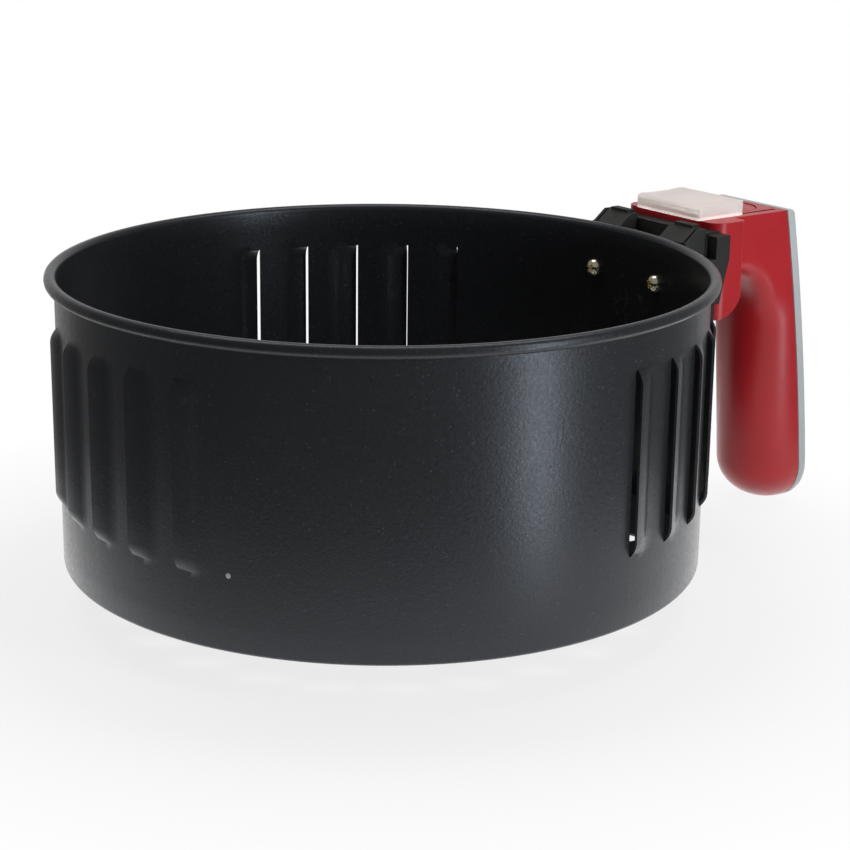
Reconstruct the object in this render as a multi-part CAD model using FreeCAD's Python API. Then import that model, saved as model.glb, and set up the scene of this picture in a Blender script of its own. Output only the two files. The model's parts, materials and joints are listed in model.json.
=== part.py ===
"""Air fryer basket: a louvred round basket with a side handle, a sliding button guard and a
sprung release button that works a latch.

Millimetres. The origin is the centre of the basket's base, +Z is up and +X points to the handle.
Left is +Y and right is -Y, seen from the basket looking along the handle.
"""
import FreeCAD, Part
import math
import os

from FreeCAD import Vector

# Basket body, pressed and rolled from steel sheet
RIM_OUTER_R = 110.0
BASKET_HEIGHT = 97.3
SHEET = 0.8
CURL_R = 2.0
CURL_SWEEP_DEG = 300.0
CURL_STEPS = 10
BASE_BEND_R = 1.4
BEND_STEPS = 3
BASE_LIP_W = 5.4

# Louvres: groups of pressed hoods, each open along its clockwise edge
LOUVRE_GROUP_DEG = (60.0, 180.0, 300.0)
LOUVRES_PER_GROUP = 5
LOUVRE_PITCH_DEG = 10.2
SLIT_LOW_Z = 23.5
SLIT_TOP_DROP = 15.3
HOOD_RISE = 2.8
HOOD_WIDTH = 8.0
HOOD_END_LENGTH = 4.5
HOOD_BOW = 0.45
SLIT_KERF = 0.5

# A weld pip on the wall
PIP_DEG = 210.8
PIP_Z = 24.5
PIP_R = 0.85
PIP_HEIGHT = 0.35

# Perforated base plate
GRID_RINGS = 4
GRID_RING_PITCH = 21.0
GRID_HOLE_R = 4.5
GRID_STEP_GAP = 0.6
GRID_STEP_RUN = 0.8

# Pan heads: the share of the height that is upright, and of the radius that is flat on top
HEAD_RIM_SHARE = 0.45
HEAD_CROWN_SHARE = 0.5

# Screws from the basket into nuts held in the bracket
WALL_SCREW_DROP = 16.3
WALL_SCREW_DEG = 8.85
WALL_SCREW_R = 2.0
WALL_SCREW_HEAD_R = 3.5
WALL_SCREW_HEAD_H = 2.5
WALL_SCREW_LENGTH = 13.0
WALL_SCREW_HOLE_R = 2.2
NUT_SIDE = 7.0
NUT_THICKNESS = 3.2
NUT_DEPTH = 5.5
NUT_CLEARANCE = 0.15

# Bracket between the basket and the handle
BRACKET_HALF_W = 30.0
BRACKET_DEPTH = 17.0
BRACKET_DROP = 23.3
RIM_CLEARANCE = 0.4
RAMP_INNER_Y = 10.5
RAMP_OUTER_Y = 23.0
RAMP_FOOT_DROP = 0.9
RAMP_FOOT_REACH = 1.6
RAMP_BELOW_TOP = 0.8
RAMP_TOP_REACH = 6.3
SHELF_DEPTH = 7.4
RECESS_DEPTH = 7.3
RIB_T = 1.2
RIB_GAP = 0.9
END_BLOCK_W = 4.2
END_BLOCK_DEPTH = 3.1
END_BLOCK_DROP = 1.4
END_UNDERCUT = 4.0
TONGUE_DEPTH = 8.4
TONGUE_HALF_W = 23.6
BOSS_Y_LOW = 12.5
BOSS_Y_HIGH = 21.5
BOSS_DEPTH = 3.2
BOSS_RISE = 1.1

# Latch lever and its way through the bracket
LEVER_SLOT_HALF_W = 8.5
LEVER_HALF_W = 6.0
LEVER_SIDE_CLEARANCE = 0.3
PIVOT_OUT = 6.0
PIVOT_DROP = 12.4
HUB_R = 3.6
PIN_R = 1.5
PIN_CLEARANCE = 0.05
LUG_INNER_Y = 8.6
LUG_T = 3.0
LUG_R = 3.6
ARM_TIP = 2.0
ARM_T = 2.8
HOOK_INSET = 4.6
HOOK_DROP = 16.5
HOOK_ARM_T = 3.2
HOOK_REACH = 3.8
HOOK_H = 4.5

# Handle shell
HANDLE_ABOVE_RIM = 3.7
HANDLE_WALL = 2.4
LIP_REACH = 1.5
COLLAR_DEPTH = 13.0
COLLAR_HALF_W = 24.5
COLLAR_INNER_CORNER_R = 5.5
COLLAR_OUTER_CORNER_R = 2.5
COLLAR_DROP = 8.0
ARM_DEPTH = 21.0
ARM_HALF_W = 18.3
GRIP_BEND_R = 13.0
ARM_LENGTH = 30.3
GRIP_LEAN = 4.0
GRIP_END_R = 17.0
HANDLE_HEIGHT = 116.0
GRIP_EDGE_R = 6.5
SHELL_TOP_T = 8.5
SHELL_LOW_T = 21.4
PARTING_BOW = 1.9

# Trim cover over the open outer side of the shell
TRIM_T = 4.1
TRIM_REVEAL = 0.5
TRIM_REVEAL_INSET = 0.6
TRIM_EDGE_R = 1.2
SNAP_DROPS = (27.0, 61.0, 93.0)
SNAP_W = 8.0
SNAP_T = 1.6
SNAP_DEPTH = 7.0
SNAP_GAP = 0.15
SNAP_BARB = 0.9

# Release button
BUTTON_R = 11.5
BUTTON_START = 7.7
BUTTON_END_GAP = 2.3
BUTTON_CLEARANCE = 0.3
BUTTON_BELOW_TOP = 0.2
BUTTON_TRAVEL = 3.5
BUTTON_CROWN_T = 2.2
BUTTON_SIDE_T = 2.0
BUTTON_DEPTH = 4.6
FLANGE_W = 0.8
FLANGE_T = 1.6
FLANGE_GAP = 0.3
STEM_R = 1.8
STEM_GAP = 0.6
STEM_TO_SPRING = 9.2

# Return spring under the button
SPRING_FROM_END = 7.3
SPRING_R = 3.6
SPRING_WIRE_R = 0.45
SPRING_TURNS = 5
SPRING_STEPS_PER_TURN = 14
SPRING_WIRE_SIDES = 6
SPRING_POST_GAP = 0.3
SPRING_POST_H = 2.0

# Sliding guard over the button
GUARD_OVERHANG = 3.0
GUARD_LENGTH = 22.0
GUARD_HALF_W = 16.7
GUARD_H = 5.3
GUARD_WALL = 1.8
GUARD_CORNER_R = 1.5
GUARD_EDGE_R = 1.4
GUARD_TRAVEL = 18.0
GUARD_GAP = 0.15
LEG_Y = 13.5
LEG_T = 1.0
LEG_START = 4.5
LEG_LENGTH = 13.0
LEG_BARB = 0.8
LEG_BARB_H = 1.0
SLOT_CLEARANCE = 0.25
SLOT_OVERRUN = 4.1

# Screws that hold the shell to the bracket
SHELL_SCREW_Y = 19.2
SHELL_SCREW_LOW_DROP = 3.4
SHELL_SCREW_HIGH_DROP = 9.4
SHELL_SCREW_R = 1.5
SHELL_SCREW_HEAD_R = 2.8
SHELL_SCREW_HEAD_H = 1.9
SHELL_SCREW_REACH = 5.8
SHELL_BOSS_R = 3.3
SHELL_SCREW_CLEARANCE = 0.2

WALL_OUT = RIM_OUTER_R - 2 * CURL_R + SHEET
WALL_IN = WALL_OUT - SHEET
BEAD_Z = BASKET_HEIGHT - CURL_R
BEAD_LOW_Z = BEAD_Z - CURL_R
BEND_IN_R = BASE_BEND_R - SHEET
SLIT_HIGH_Z = BASKET_HEIGHT - SLIT_TOP_DROP
WALL_SCREW_Z = BASKET_HEIGHT - WALL_SCREW_DROP
HANDLE_TOP_Z = BASKET_HEIGHT + HANDLE_ABOVE_RIM
BRACKET_BACK_X = RIM_OUTER_R + BRACKET_DEPTH
BRACKET_LOW_Z = BASKET_HEIGHT - BRACKET_DROP
BRACKET_SHELF_X = BRACKET_BACK_X - SHELF_DEPTH
RECESS_FLOOR_Z = BASKET_HEIGHT - RECESS_DEPTH
TONGUE_FRONT_X = BRACKET_BACK_X - TONGUE_DEPTH
COLLAR_OUTER_X = BRACKET_BACK_X + COLLAR_DEPTH
COLLAR_LOW_Z = BRACKET_LOW_Z - COLLAR_DROP
ARM_LOW_Z = HANDLE_TOP_Z - ARM_DEPTH
GRIP_LOW_Z = HANDLE_TOP_Z - HANDLE_HEIGHT
GRIP_INNER_TOP_X = BRACKET_BACK_X + ARM_LENGTH
GRIP_INNER_LOW_X = GRIP_INNER_TOP_X + GRIP_LEAN
PARTING_TOP_X = GRIP_INNER_TOP_X + SHELL_TOP_T
PARTING_LOW_X = GRIP_INNER_LOW_X + SHELL_LOW_T
SHELL_ROOF_Z = HANDLE_TOP_Z - HANDLE_WALL
SHELL_FLOOR_Z = ARM_LOW_Z + HANDLE_WALL
SHELL_SCREW_Z = (BRACKET_LOW_Z - SHELL_SCREW_LOW_DROP, HANDLE_TOP_Z - SHELL_SCREW_HIGH_DROP)
PIVOT_X = BRACKET_BACK_X + PIVOT_OUT
PIVOT_Z = HANDLE_TOP_Z - PIVOT_DROP
HOOK_X = BRACKET_BACK_X - HOOK_INSET
HOOK_LOW_Z = BRACKET_LOW_Z - HOOK_DROP
BUTTON_INNER_X = BRACKET_BACK_X + BUTTON_START
BUTTON_OUTER_X = PARTING_TOP_X - BUTTON_END_GAP
SPRING_X = BUTTON_OUTER_X - SPRING_FROM_END
STEM_X = SPRING_X - STEM_TO_SPRING
GUARD_INNER_X = BRACKET_BACK_X - GUARD_OVERHANG
SLOT_END_X = GUARD_INNER_X + LEG_START + LEG_LENGTH + GUARD_TRAVEL + SLOT_OVERRUN
FAR = 2 * (RIM_OUTER_R + BRACKET_DEPTH + ARM_LENGTH)


def edge_line(a, b):
    return Part.makeLine(Vector(*a), Vector(*b))


def edge_arc(a, mid, b):
    return Part.Arc(Vector(*a), Vector(*mid), Vector(*b)).toShape()


def face_of(edges):
    return Part.Face(Part.Wire(edges))


def polygon(points):
    corners = [Vector(*p) for p in points]
    return Part.Face(Part.makePolygon(corners + corners[:1]))


def box(low, high):
    size = [h - l for l, h in zip(low, high)]
    return Part.makeBox(*size, Vector(*low))


def rod(radius, start, end):
    """A round bar from start to end."""
    way = Vector(*end) - Vector(*start)
    return Part.makeCylinder(radius, way.Length, Vector(*start), way)


def across(face, half_width):
    """A face drawn at y = 0, drawn out to both sides."""
    return face.translated(Vector(0, -half_width, 0)).extrude(Vector(0, 2 * half_width, 0))


def turned(shape, degrees):
    return shape.rotated(Vector(0, 0, 0), Vector(0, 0, 1), degrees)


def mirrored_y(shape):
    return shape.mirror(Vector(0, 0, 0), Vector(0, 1, 0))


def both_sides(shape):
    return [shape, mirrored_y(shape)]


def on_circle(centre_x, centre_z, radius, degrees):
    angle = math.radians(degrees)
    return (centre_x + radius * math.cos(angle), 0, centre_z + radius * math.sin(angle))


def save(name, shape):
    shape = shape.removeSplitter()
    if not shape.isValid():
        raise ValueError(name + " is not a valid solid")
    shape.exportStep(os.path.join("parts", name + ".step"))


# Basket body

def bend_points(centre_x, centre_z, radius, start, end, steps):
    """Points along a bend of the section; short straight steps keep the solid light."""
    return [on_circle(centre_x, centre_z, radius, start + (end - start) * i / steps) for i in range(steps + 1)]


def rolled_wall():
    """The wall with its curled rim and its inward lip, turned from one section."""
    bead_x = RIM_OUTER_R - CURL_R
    curl_end = 180 - CURL_SWEEP_DEG
    bend_x = WALL_OUT - BASE_BEND_R
    lip_x = WALL_OUT - BASE_LIP_W - SHEET
    outside = [(lip_x, 0, 0)]
    outside += bend_points(bend_x, BASE_BEND_R, BASE_BEND_R, -90, 0, BEND_STEPS)
    outside += bend_points(bead_x, BEAD_Z, CURL_R - SHEET, 180, curl_end, CURL_STEPS)
    inside = bend_points(bead_x, BEAD_Z, CURL_R, curl_end, 180, CURL_STEPS)
    inside += bend_points(bend_x, BASE_BEND_R, BEND_IN_R, 0, -90, BEND_STEPS)
    inside += [(lip_x, 0, SHEET)]
    return polygon(outside + inside).revolve(Vector(0, 0, 0), Vector(0, 0, 1), 360)


def hood_form(inset):
    """The bulge of one hood, open at y = 0, or with an inset of one sheet the hollow inside it."""
    root_x = math.sqrt((WALL_OUT - inset) ** 2 - HOOD_WIDTH ** 2)
    back_x = root_x - SHEET / 2
    crest_x = WALL_OUT + HOOD_RISE - inset
    bow_x = (crest_x + root_x) / 2 + HOOD_BOW
    plan = polygon([(back_x, 0, 0), (crest_x, 0, 0), (bow_x, HOOD_WIDTH / 2, 0),
                    (root_x, HOOD_WIDTH, 0), (back_x, HOOD_WIDTH, 0)])
    full = plan.translated(Vector(0, 0, SLIT_LOW_Z)).extrude(Vector(0, 0, SLIT_HIGH_Z - SLIT_LOW_Z))
    end_r = (HOOD_END_LENGTH ** 2 + HOOD_RISE ** 2) / (2 * HOOD_RISE) - inset
    centre_x = crest_x - end_r
    low_z = SLIT_LOW_Z + HOOD_END_LENGTH
    high_z = SLIT_HIGH_Z - HOOD_END_LENGTH
    drop = math.sqrt(end_r ** 2 - (back_x - centre_x) ** 2)
    half = math.degrees(math.atan2(drop, back_x - centre_x)) / 2
    side = face_of([
        edge_arc((back_x, 0, low_z - drop), on_circle(centre_x, low_z, end_r, -half),
                 (crest_x, 0, low_z)),
        edge_line((crest_x, 0, low_z), (crest_x, 0, high_z)),
        edge_arc((crest_x, 0, high_z), on_circle(centre_x, high_z, end_r, half),
                 (back_x, 0, high_z + drop)),
        edge_line((back_x, 0, high_z + drop), (back_x, 0, low_z - drop)),
    ])
    return full.common(across(side, 2 * HOOD_WIDTH))


def throat_form():
    """What is hollow behind a hood, with the narrow slit that its open edge leaves in the wall."""
    hollow = hood_form(SHEET)
    bounds = hollow.BoundBox
    slit = box((bounds.XMin, -SLIT_KERF, bounds.ZMin), (WALL_OUT + SHEET, 0, bounds.ZMax))
    return hollow.fuse(slit)


def louvre_angles():
    middle = (LOUVRES_PER_GROUP - 1) / 2
    return [group + (i - middle) * LOUVRE_PITCH_DEG
            for group in LOUVRE_GROUP_DEG for i in range(LOUVRES_PER_GROUP)]


def make_basket_wall():
    wall = rolled_wall()
    hood = hood_form(0)
    throat = throat_form()
    wall = wall.fuse([turned(hood, a) for a in louvre_angles()])
    wall = wall.cut([turned(throat, a) for a in louvre_angles()])
    pip = rod(PIP_R, (WALL_OUT - SHEET / 2, 0, PIP_Z), (WALL_OUT + PIP_HEIGHT, 0, PIP_Z))
    wall = wall.fuse(turned(pip, PIP_DEG))
    hole = rod(WALL_SCREW_HOLE_R, (WALL_IN - SHEET, 0, WALL_SCREW_Z), (RIM_OUTER_R, 0, WALL_SCREW_Z))
    return wall.cut([turned(hole, side * WALL_SCREW_DEG) for side in (1, -1)])


def make_bottom_grid():
    """A perforated plate whose raised edge sits on the wall's inward lip."""
    edge_r = WALL_OUT - BASE_BEND_R
    step_r = WALL_OUT - BASE_LIP_W - SHEET - GRID_STEP_GAP
    flat_r = step_r - GRID_STEP_RUN
    section = polygon([(0, 0, 0), (flat_r, 0, 0), (step_r, 0, SHEET), (edge_r, 0, SHEET),
                       (edge_r, 0, 2 * SHEET), (step_r - SHEET / 2, 0, 2 * SHEET),
                       (flat_r - SHEET / 2, 0, SHEET), (0, 0, SHEET)])
    plate = section.revolve(Vector(0, 0, 0), Vector(0, 0, 1), 360)
    holes = []
    for ring in range(1, GRID_RINGS + 1):
        hole = rod(GRID_HOLE_R, (ring * GRID_RING_PITCH, 0, -SHEET), (ring * GRID_RING_PITCH, 0, 3 * SHEET))
        holes += [turned(hole, i * 60 / ring) for i in range(6 * ring)]
    return plate.cut(holes)


# Screws and nuts

def pan_screw(radius, head_r, head_h, length):
    """A pan-head screw along +X, its head's seat at the origin and its head towards -X."""
    rim_x = -head_h * HEAD_RIM_SHARE
    crown_r = head_r * HEAD_CROWN_SHARE
    return polygon([(length, 0, 0), (length, 0, radius), (0, 0, radius), (0, 0, head_r),
                    (rim_x, 0, head_r), (-head_h, 0, crown_r), (-head_h, 0, 0)]
                   ).revolve(Vector(0, 0, 0), Vector(1, 0, 0), 360)


def make_bracket_screw(side):
    """The head's edge rests on the curved inner face of the wall."""
    seat_x = math.sqrt(WALL_IN ** 2 - WALL_SCREW_HEAD_R ** 2)
    screw = pan_screw(WALL_SCREW_R, WALL_SCREW_HEAD_R, WALL_SCREW_HEAD_H, WALL_SCREW_LENGTH)
    return turned(screw.translated(Vector(seat_x, 0, WALL_SCREW_Z)), side * WALL_SCREW_DEG)


def nut_block(clearance, low_z):
    half = NUT_SIDE / 2 + clearance
    front = WALL_OUT + NUT_DEPTH - clearance
    return box((front, -half, low_z), (front + NUT_THICKNESS + 2 * clearance, half, WALL_SCREW_Z + half))


def make_bracket_nut(side):
    nut = nut_block(0, WALL_SCREW_Z - NUT_SIDE / 2)
    thread = rod(WALL_SCREW_R, (WALL_OUT, 0, WALL_SCREW_Z), (BRACKET_BACK_X, 0, WALL_SCREW_Z))
    return turned(nut.cut(thread), side * WALL_SCREW_DEG)


def make_shell_screw(side, z):
    screw = pan_screw(SHELL_SCREW_R, SHELL_SCREW_HEAD_R, SHELL_SCREW_HEAD_H,
                      BRACKET_BACK_X + SHELL_SCREW_REACH - TONGUE_FRONT_X)
    return screw.translated(Vector(TONGUE_FRONT_X, side * SHELL_SCREW_Y, z))


# Bracket

def ramp_face():
    """The side view of a ramp that leads up over the rim."""
    start_x = RIM_OUTER_R + RIM_CLEARANCE
    foot_z = BASKET_HEIGHT - RAMP_FOOT_DROP
    top_z = HANDLE_TOP_Z - RAMP_BELOW_TOP
    return polygon([(start_x, 0, BEAD_LOW_Z - RIM_CLEARANCE), (start_x, 0, foot_z - RIM_CLEARANCE),
                    (RIM_OUTER_R + RAMP_FOOT_REACH, 0, foot_z), (RIM_OUTER_R + RAMP_TOP_REACH, 0, top_z),
                    (BRACKET_SHELF_X, 0, top_z), (BRACKET_SHELF_X, 0, BEAD_LOW_Z - RIM_CLEARANCE)])


def slab(face, low_y, high_y):
    """A side view drawn out from low_y to high_y."""
    return face.translated(Vector(0, low_y, 0)).extrude(Vector(0, high_y - low_y, 0))


def make_bracket():
    base = box((0, -BRACKET_HALF_W, BRACKET_LOW_Z), (BRACKET_BACK_X, BRACKET_HALF_W, SHELL_ROOF_Z))
    front_cut = box((0, -FAR, RECESS_FLOOR_Z), (BRACKET_SHELF_X, FAR, FAR))
    tongue = box((TONGUE_FRONT_X, -TONGUE_HALF_W, COLLAR_LOW_Z),
                 (BRACKET_BACK_X, TONGUE_HALF_W, BRACKET_LOW_Z))
    body = base.cut(front_cut).fuse(tongue)

    rib_y = RAMP_OUTER_Y + RIB_GAP
    block_y = BRACKET_HALF_W - END_BLOCK_W
    block_top = SHELL_ROOF_Z - END_BLOCK_DROP
    block = box((BRACKET_SHELF_X - END_BLOCK_DEPTH, block_y, RECESS_FLOOR_Z), (BRACKET_SHELF_X, BRACKET_HALF_W, block_top))
    boss = box((BRACKET_SHELF_X - BOSS_DEPTH, BOSS_Y_LOW, RECESS_FLOOR_Z),
               (BRACKET_SHELF_X, BOSS_Y_HIGH, HANDLE_TOP_Z - RAMP_BELOW_TOP + BOSS_RISE))
    ramp = slab(ramp_face(), RAMP_INNER_Y, RAMP_OUTER_Y)
    rib = slab(ramp_face(), rib_y, rib_y + RIB_T)
    skirt = box((RIM_OUTER_R + RIM_CLEARANCE, RAMP_INNER_Y, RECESS_FLOOR_Z),
                (BRACKET_SHELF_X, rib_y + RIB_T, BEAD_LOW_Z - RIM_CLEARANCE))
    extras = [s for shape in (block, boss, ramp, rib, skirt) for s in both_sides(shape)]
    body = body.fuse(extras)
    ends = box((BRACKET_SHELF_X, COLLAR_HALF_W, block_top), (FAR, FAR, FAR))
    undercut = slab(polygon([(BRACKET_BACK_X - END_UNDERCUT, 0, BRACKET_LOW_Z - 1),
                             (FAR, 0, BRACKET_LOW_Z - 1), (FAR, 0, SHELL_ROOF_Z),
                             (BRACKET_BACK_X, 0, SHELL_ROOF_Z)]), COLLAR_HALF_W, FAR)
    drum = rod(WALL_OUT, (0, 0, 0), (0, 0, FAR))
    bead_room = rod(RIM_OUTER_R + RIM_CLEARANCE, (0, 0, BEAD_LOW_Z - RIM_CLEARANCE), (0, 0, FAR))
    lever_way = box((0, -LEVER_SLOT_HALF_W, 0), (FAR, LEVER_SLOT_HALF_W, RECESS_FLOOR_Z))
    body = body.cut([drum, bead_room, lever_way] + both_sides(ends) + both_sides(undercut))

    cuts = []
    pocket = nut_block(NUT_CLEARANCE, BRACKET_LOW_Z - 1)
    hole = rod(WALL_SCREW_HOLE_R, (0, 0, WALL_SCREW_Z),
               (WALL_IN + WALL_SCREW_LENGTH + RIM_CLEARANCE, 0, WALL_SCREW_Z))
    for side in (1, -1):
        cuts += [turned(pocket, side * WALL_SCREW_DEG), turned(hole, side * WALL_SCREW_DEG)]
        for z in SHELL_SCREW_Z:
            y = side * SHELL_SCREW_Y
            head_r = SHELL_SCREW_HEAD_R + SHELL_SCREW_CLEARANCE
            cuts += [rod(SHELL_SCREW_R + SHELL_SCREW_CLEARANCE, (TONGUE_FRONT_X, y, z),
                         (BRACKET_BACK_X, y, z)),
                     rod(head_r, (WALL_OUT, y, z), (TONGUE_FRONT_X, y, z))]
    return body.cut(cuts)


# Handle shell and trim

def parting_arc(offset):
    """The bowed line where shell and trim meet, moved outwards by an offset, from top to bottom."""
    rise = HANDLE_TOP_Z - GRIP_LOW_Z
    lean = PARTING_LOW_X - PARTING_TOP_X
    chord = math.hypot(rise, lean)
    radius = chord ** 2 / (8 * PARTING_BOW) + PARTING_BOW / 2
    depth = radius - PARTING_BOW
    centre_x = (PARTING_TOP_X + PARTING_LOW_X) / 2 - depth * rise / chord
    centre_z = (HANDLE_TOP_Z + GRIP_LOW_Z) / 2 - depth * lean / chord
    radius += offset

    def point(z):
        return (centre_x + math.sqrt(radius ** 2 - (z - centre_z) ** 2), 0, z)
    return point


def front_outline(inset, top_z):
    """The handle seen from outside: straight sides that close in a half round at the bottom."""
    half_w = ARM_HALF_W - inset
    end_r = GRIP_END_R - inset
    end_z = GRIP_LOW_Z + GRIP_END_R
    away = math.hypot(half_w, top_z - end_z)
    tangent = math.atan2(top_z - end_z, half_w) - math.acos(end_r / away)
    side_y = end_r * math.cos(tangent)
    side_z = end_z + end_r * math.sin(tangent)
    return face_of([
        edge_line((0, -side_y, side_z), (0, -half_w, top_z)),
        edge_line((0, -half_w, top_z), (0, half_w, top_z)),
        edge_line((0, half_w, top_z), (0, side_y, side_z)),
        edge_arc((0, side_y, side_z), (0, 0, end_z - end_r), (0, -side_y, side_z)),
    ]).extrude(Vector(FAR, 0, 0))


def arm_and_grip(inset, inner_x):
    """The arm and grip as one form, or their hollow with an inset of one wall."""
    top_z = HANDLE_TOP_Z - inset
    low_z = ARM_LOW_Z + inset
    line = parting_arc(0)
    bend_r = GRIP_BEND_R + inset
    lean = (GRIP_INNER_LOW_X - GRIP_INNER_TOP_X) / (ARM_LOW_Z - GRIP_BEND_R - GRIP_LOW_Z)
    tilt = math.atan(lean)
    bend_x = GRIP_INNER_TOP_X - GRIP_BEND_R
    bend_z = ARM_LOW_Z - GRIP_BEND_R
    start_x = bend_x + bend_r * math.cos(tilt)
    start_z = bend_z + bend_r * math.sin(tilt)
    end_x = start_x + lean * (start_z - GRIP_LOW_Z)
    middle = math.radians(90) - (math.radians(90) - tilt) / 2
    side = face_of([
        edge_line((inner_x, 0, top_z), (inner_x, 0, low_z)),
        edge_line((inner_x, 0, low_z), (bend_x, 0, low_z)),
        edge_arc((bend_x, 0, low_z), (bend_x + bend_r * math.cos(middle), 0, bend_z + bend_r * math.sin(middle)),
                 (start_x, 0, start_z)),
        edge_line((start_x, 0, start_z), (end_x, 0, GRIP_LOW_Z)),
        edge_line((end_x, 0, GRIP_LOW_Z), line(GRIP_LOW_Z)),
        edge_arc(line(GRIP_LOW_Z), line((GRIP_LOW_Z + top_z) / 2), line(top_z)),
        edge_line(line(top_z), (inner_x, 0, top_z)),
    ])
    return across(side, FAR).common(front_outline(inset, top_z))


def soften_hand_side(form, inset, radius):
    """Round the long edges of a form where the fingers close on it, down and around its end."""
    bend_r = GRIP_BEND_R + inset
    bend_x = GRIP_INNER_TOP_X - GRIP_BEND_R
    bend_z = ARM_LOW_Z - GRIP_BEND_R
    edges = []
    for edge in form.Edges:
        start, end = edge.Vertexes[0].Point, edge.Vertexes[-1].Point
        middle = edge.valueAt((edge.FirstParameter + edge.LastParameter) / 2)
        if abs(start.y + end.y) < abs(start.y) and abs(middle.y) < 1 and middle.z > GRIP_LOW_Z + GRIP_END_R / 2:
            continue
        under = abs(middle.z - ARM_LOW_Z - inset) < 0.01 and middle.x < bend_x + 0.01
        bend = abs(math.hypot(middle.x - bend_x, middle.z - bend_z) - bend_r) < 0.01
        below = middle.z < bend_z + bend_r / 2 and middle.x < bend_x + bend_r + GRIP_END_R / 2
        if (under and abs(middle.y) > 1) or bend or below:
            edges.append(edge)
    return form.makeFillet(radius, edges)


def collar_plan(inset, low_z, high_z):
    half_w = COLLAR_HALF_W - inset
    block = box((BRACKET_BACK_X - LIP_REACH, -half_w, low_z), (COLLAR_OUTER_X - inset, half_w, high_z))
    if inset:
        return block
    uprights = [e for e in block.Edges if abs(e.Vertexes[0].Z - e.Vertexes[1].Z) > 1]
    inner = [e for e in uprights if e.Vertexes[0].X < BRACKET_BACK_X]
    block = block.makeFillet(COLLAR_INNER_CORNER_R, inner)
    uprights = [e for e in block.Edges if e.Vertexes[0].X > COLLAR_OUTER_X - 0.01
                and abs(e.Vertexes[0].Z - e.Vertexes[-1].Z) > 1]
    return block.makeFillet(COLLAR_OUTER_CORNER_R, uprights)


def collar_form(inset):
    """The block that closes on the bracket, its lip reaching over the bracket's shelf."""
    top_z = HANDLE_TOP_Z - inset
    bend_r = COLLAR_DEPTH - inset
    bend_z = COLLAR_LOW_Z + COLLAR_DEPTH
    side = face_of([
        edge_arc((BRACKET_BACK_X, 0, bend_z - bend_r), on_circle(BRACKET_BACK_X, bend_z, bend_r, -45),
                 (BRACKET_BACK_X + bend_r, 0, bend_z)),
        edge_line((BRACKET_BACK_X + bend_r, 0, bend_z), (BRACKET_BACK_X + bend_r, 0, top_z)),
        edge_line((BRACKET_BACK_X + bend_r, 0, top_z), (BRACKET_BACK_X, 0, top_z)),
        edge_line((BRACKET_BACK_X, 0, top_z), (BRACKET_BACK_X, 0, bend_z - bend_r)),
    ])
    block = across(side, FAR)
    if not inset:
        block = block.fuse(box((BRACKET_BACK_X - LIP_REACH, -FAR, SHELL_ROOF_Z), (BRACKET_BACK_X, FAR, top_z)))
    return block.common(collar_plan(inset, COLLAR_LOW_Z - 1, top_z))


def pill(inset, low_z, high_z):
    """An upright bar with half-round ends, as long as the button's opening less an inset."""
    radius = BUTTON_R - inset
    inner_x = BUTTON_INNER_X + BUTTON_R
    outer_x = BUTTON_OUTER_X - BUTTON_R
    middle = box((inner_x, -radius, low_z), (outer_x, radius, high_z))
    ends = [rod(radius, (x, 0, low_z), (x, 0, high_z)) for x in (inner_x, outer_x)]
    return middle.fuse(ends).removeSplitter()


def snap_tab(side, z, grow):
    """One snap tab of the trim, or with some growth the pocket that its barb springs into."""
    share = (z - GRIP_LOW_Z - GRIP_END_R) / (HANDLE_TOP_Z - GRIP_LOW_Z - GRIP_END_R)
    half_w = GRIP_END_R + share * (ARM_HALF_W - GRIP_END_R)
    wall_y = half_w - HANDLE_WALL
    tip_x = parting_arc(0)(z)[0] - SNAP_DEPTH
    low, high = z - SNAP_W / 2 - grow, z + SNAP_W / 2 + grow
    barb = box((tip_x - grow, wall_y - SNAP_GAP - SNAP_T, low),
               (tip_x + SNAP_T + grow, wall_y + SNAP_BARB - SNAP_GAP + grow, high))
    if grow:
        return barb if side > 0 else mirrored_y(barb)
    tab = box((tip_x, wall_y - SNAP_GAP - SNAP_T, low),
              (tip_x + SNAP_DEPTH + TRIM_T / 2, wall_y - SNAP_GAP, high))
    tab = tab.fuse(barb)
    return tab if side > 0 else mirrored_y(tab)


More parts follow.
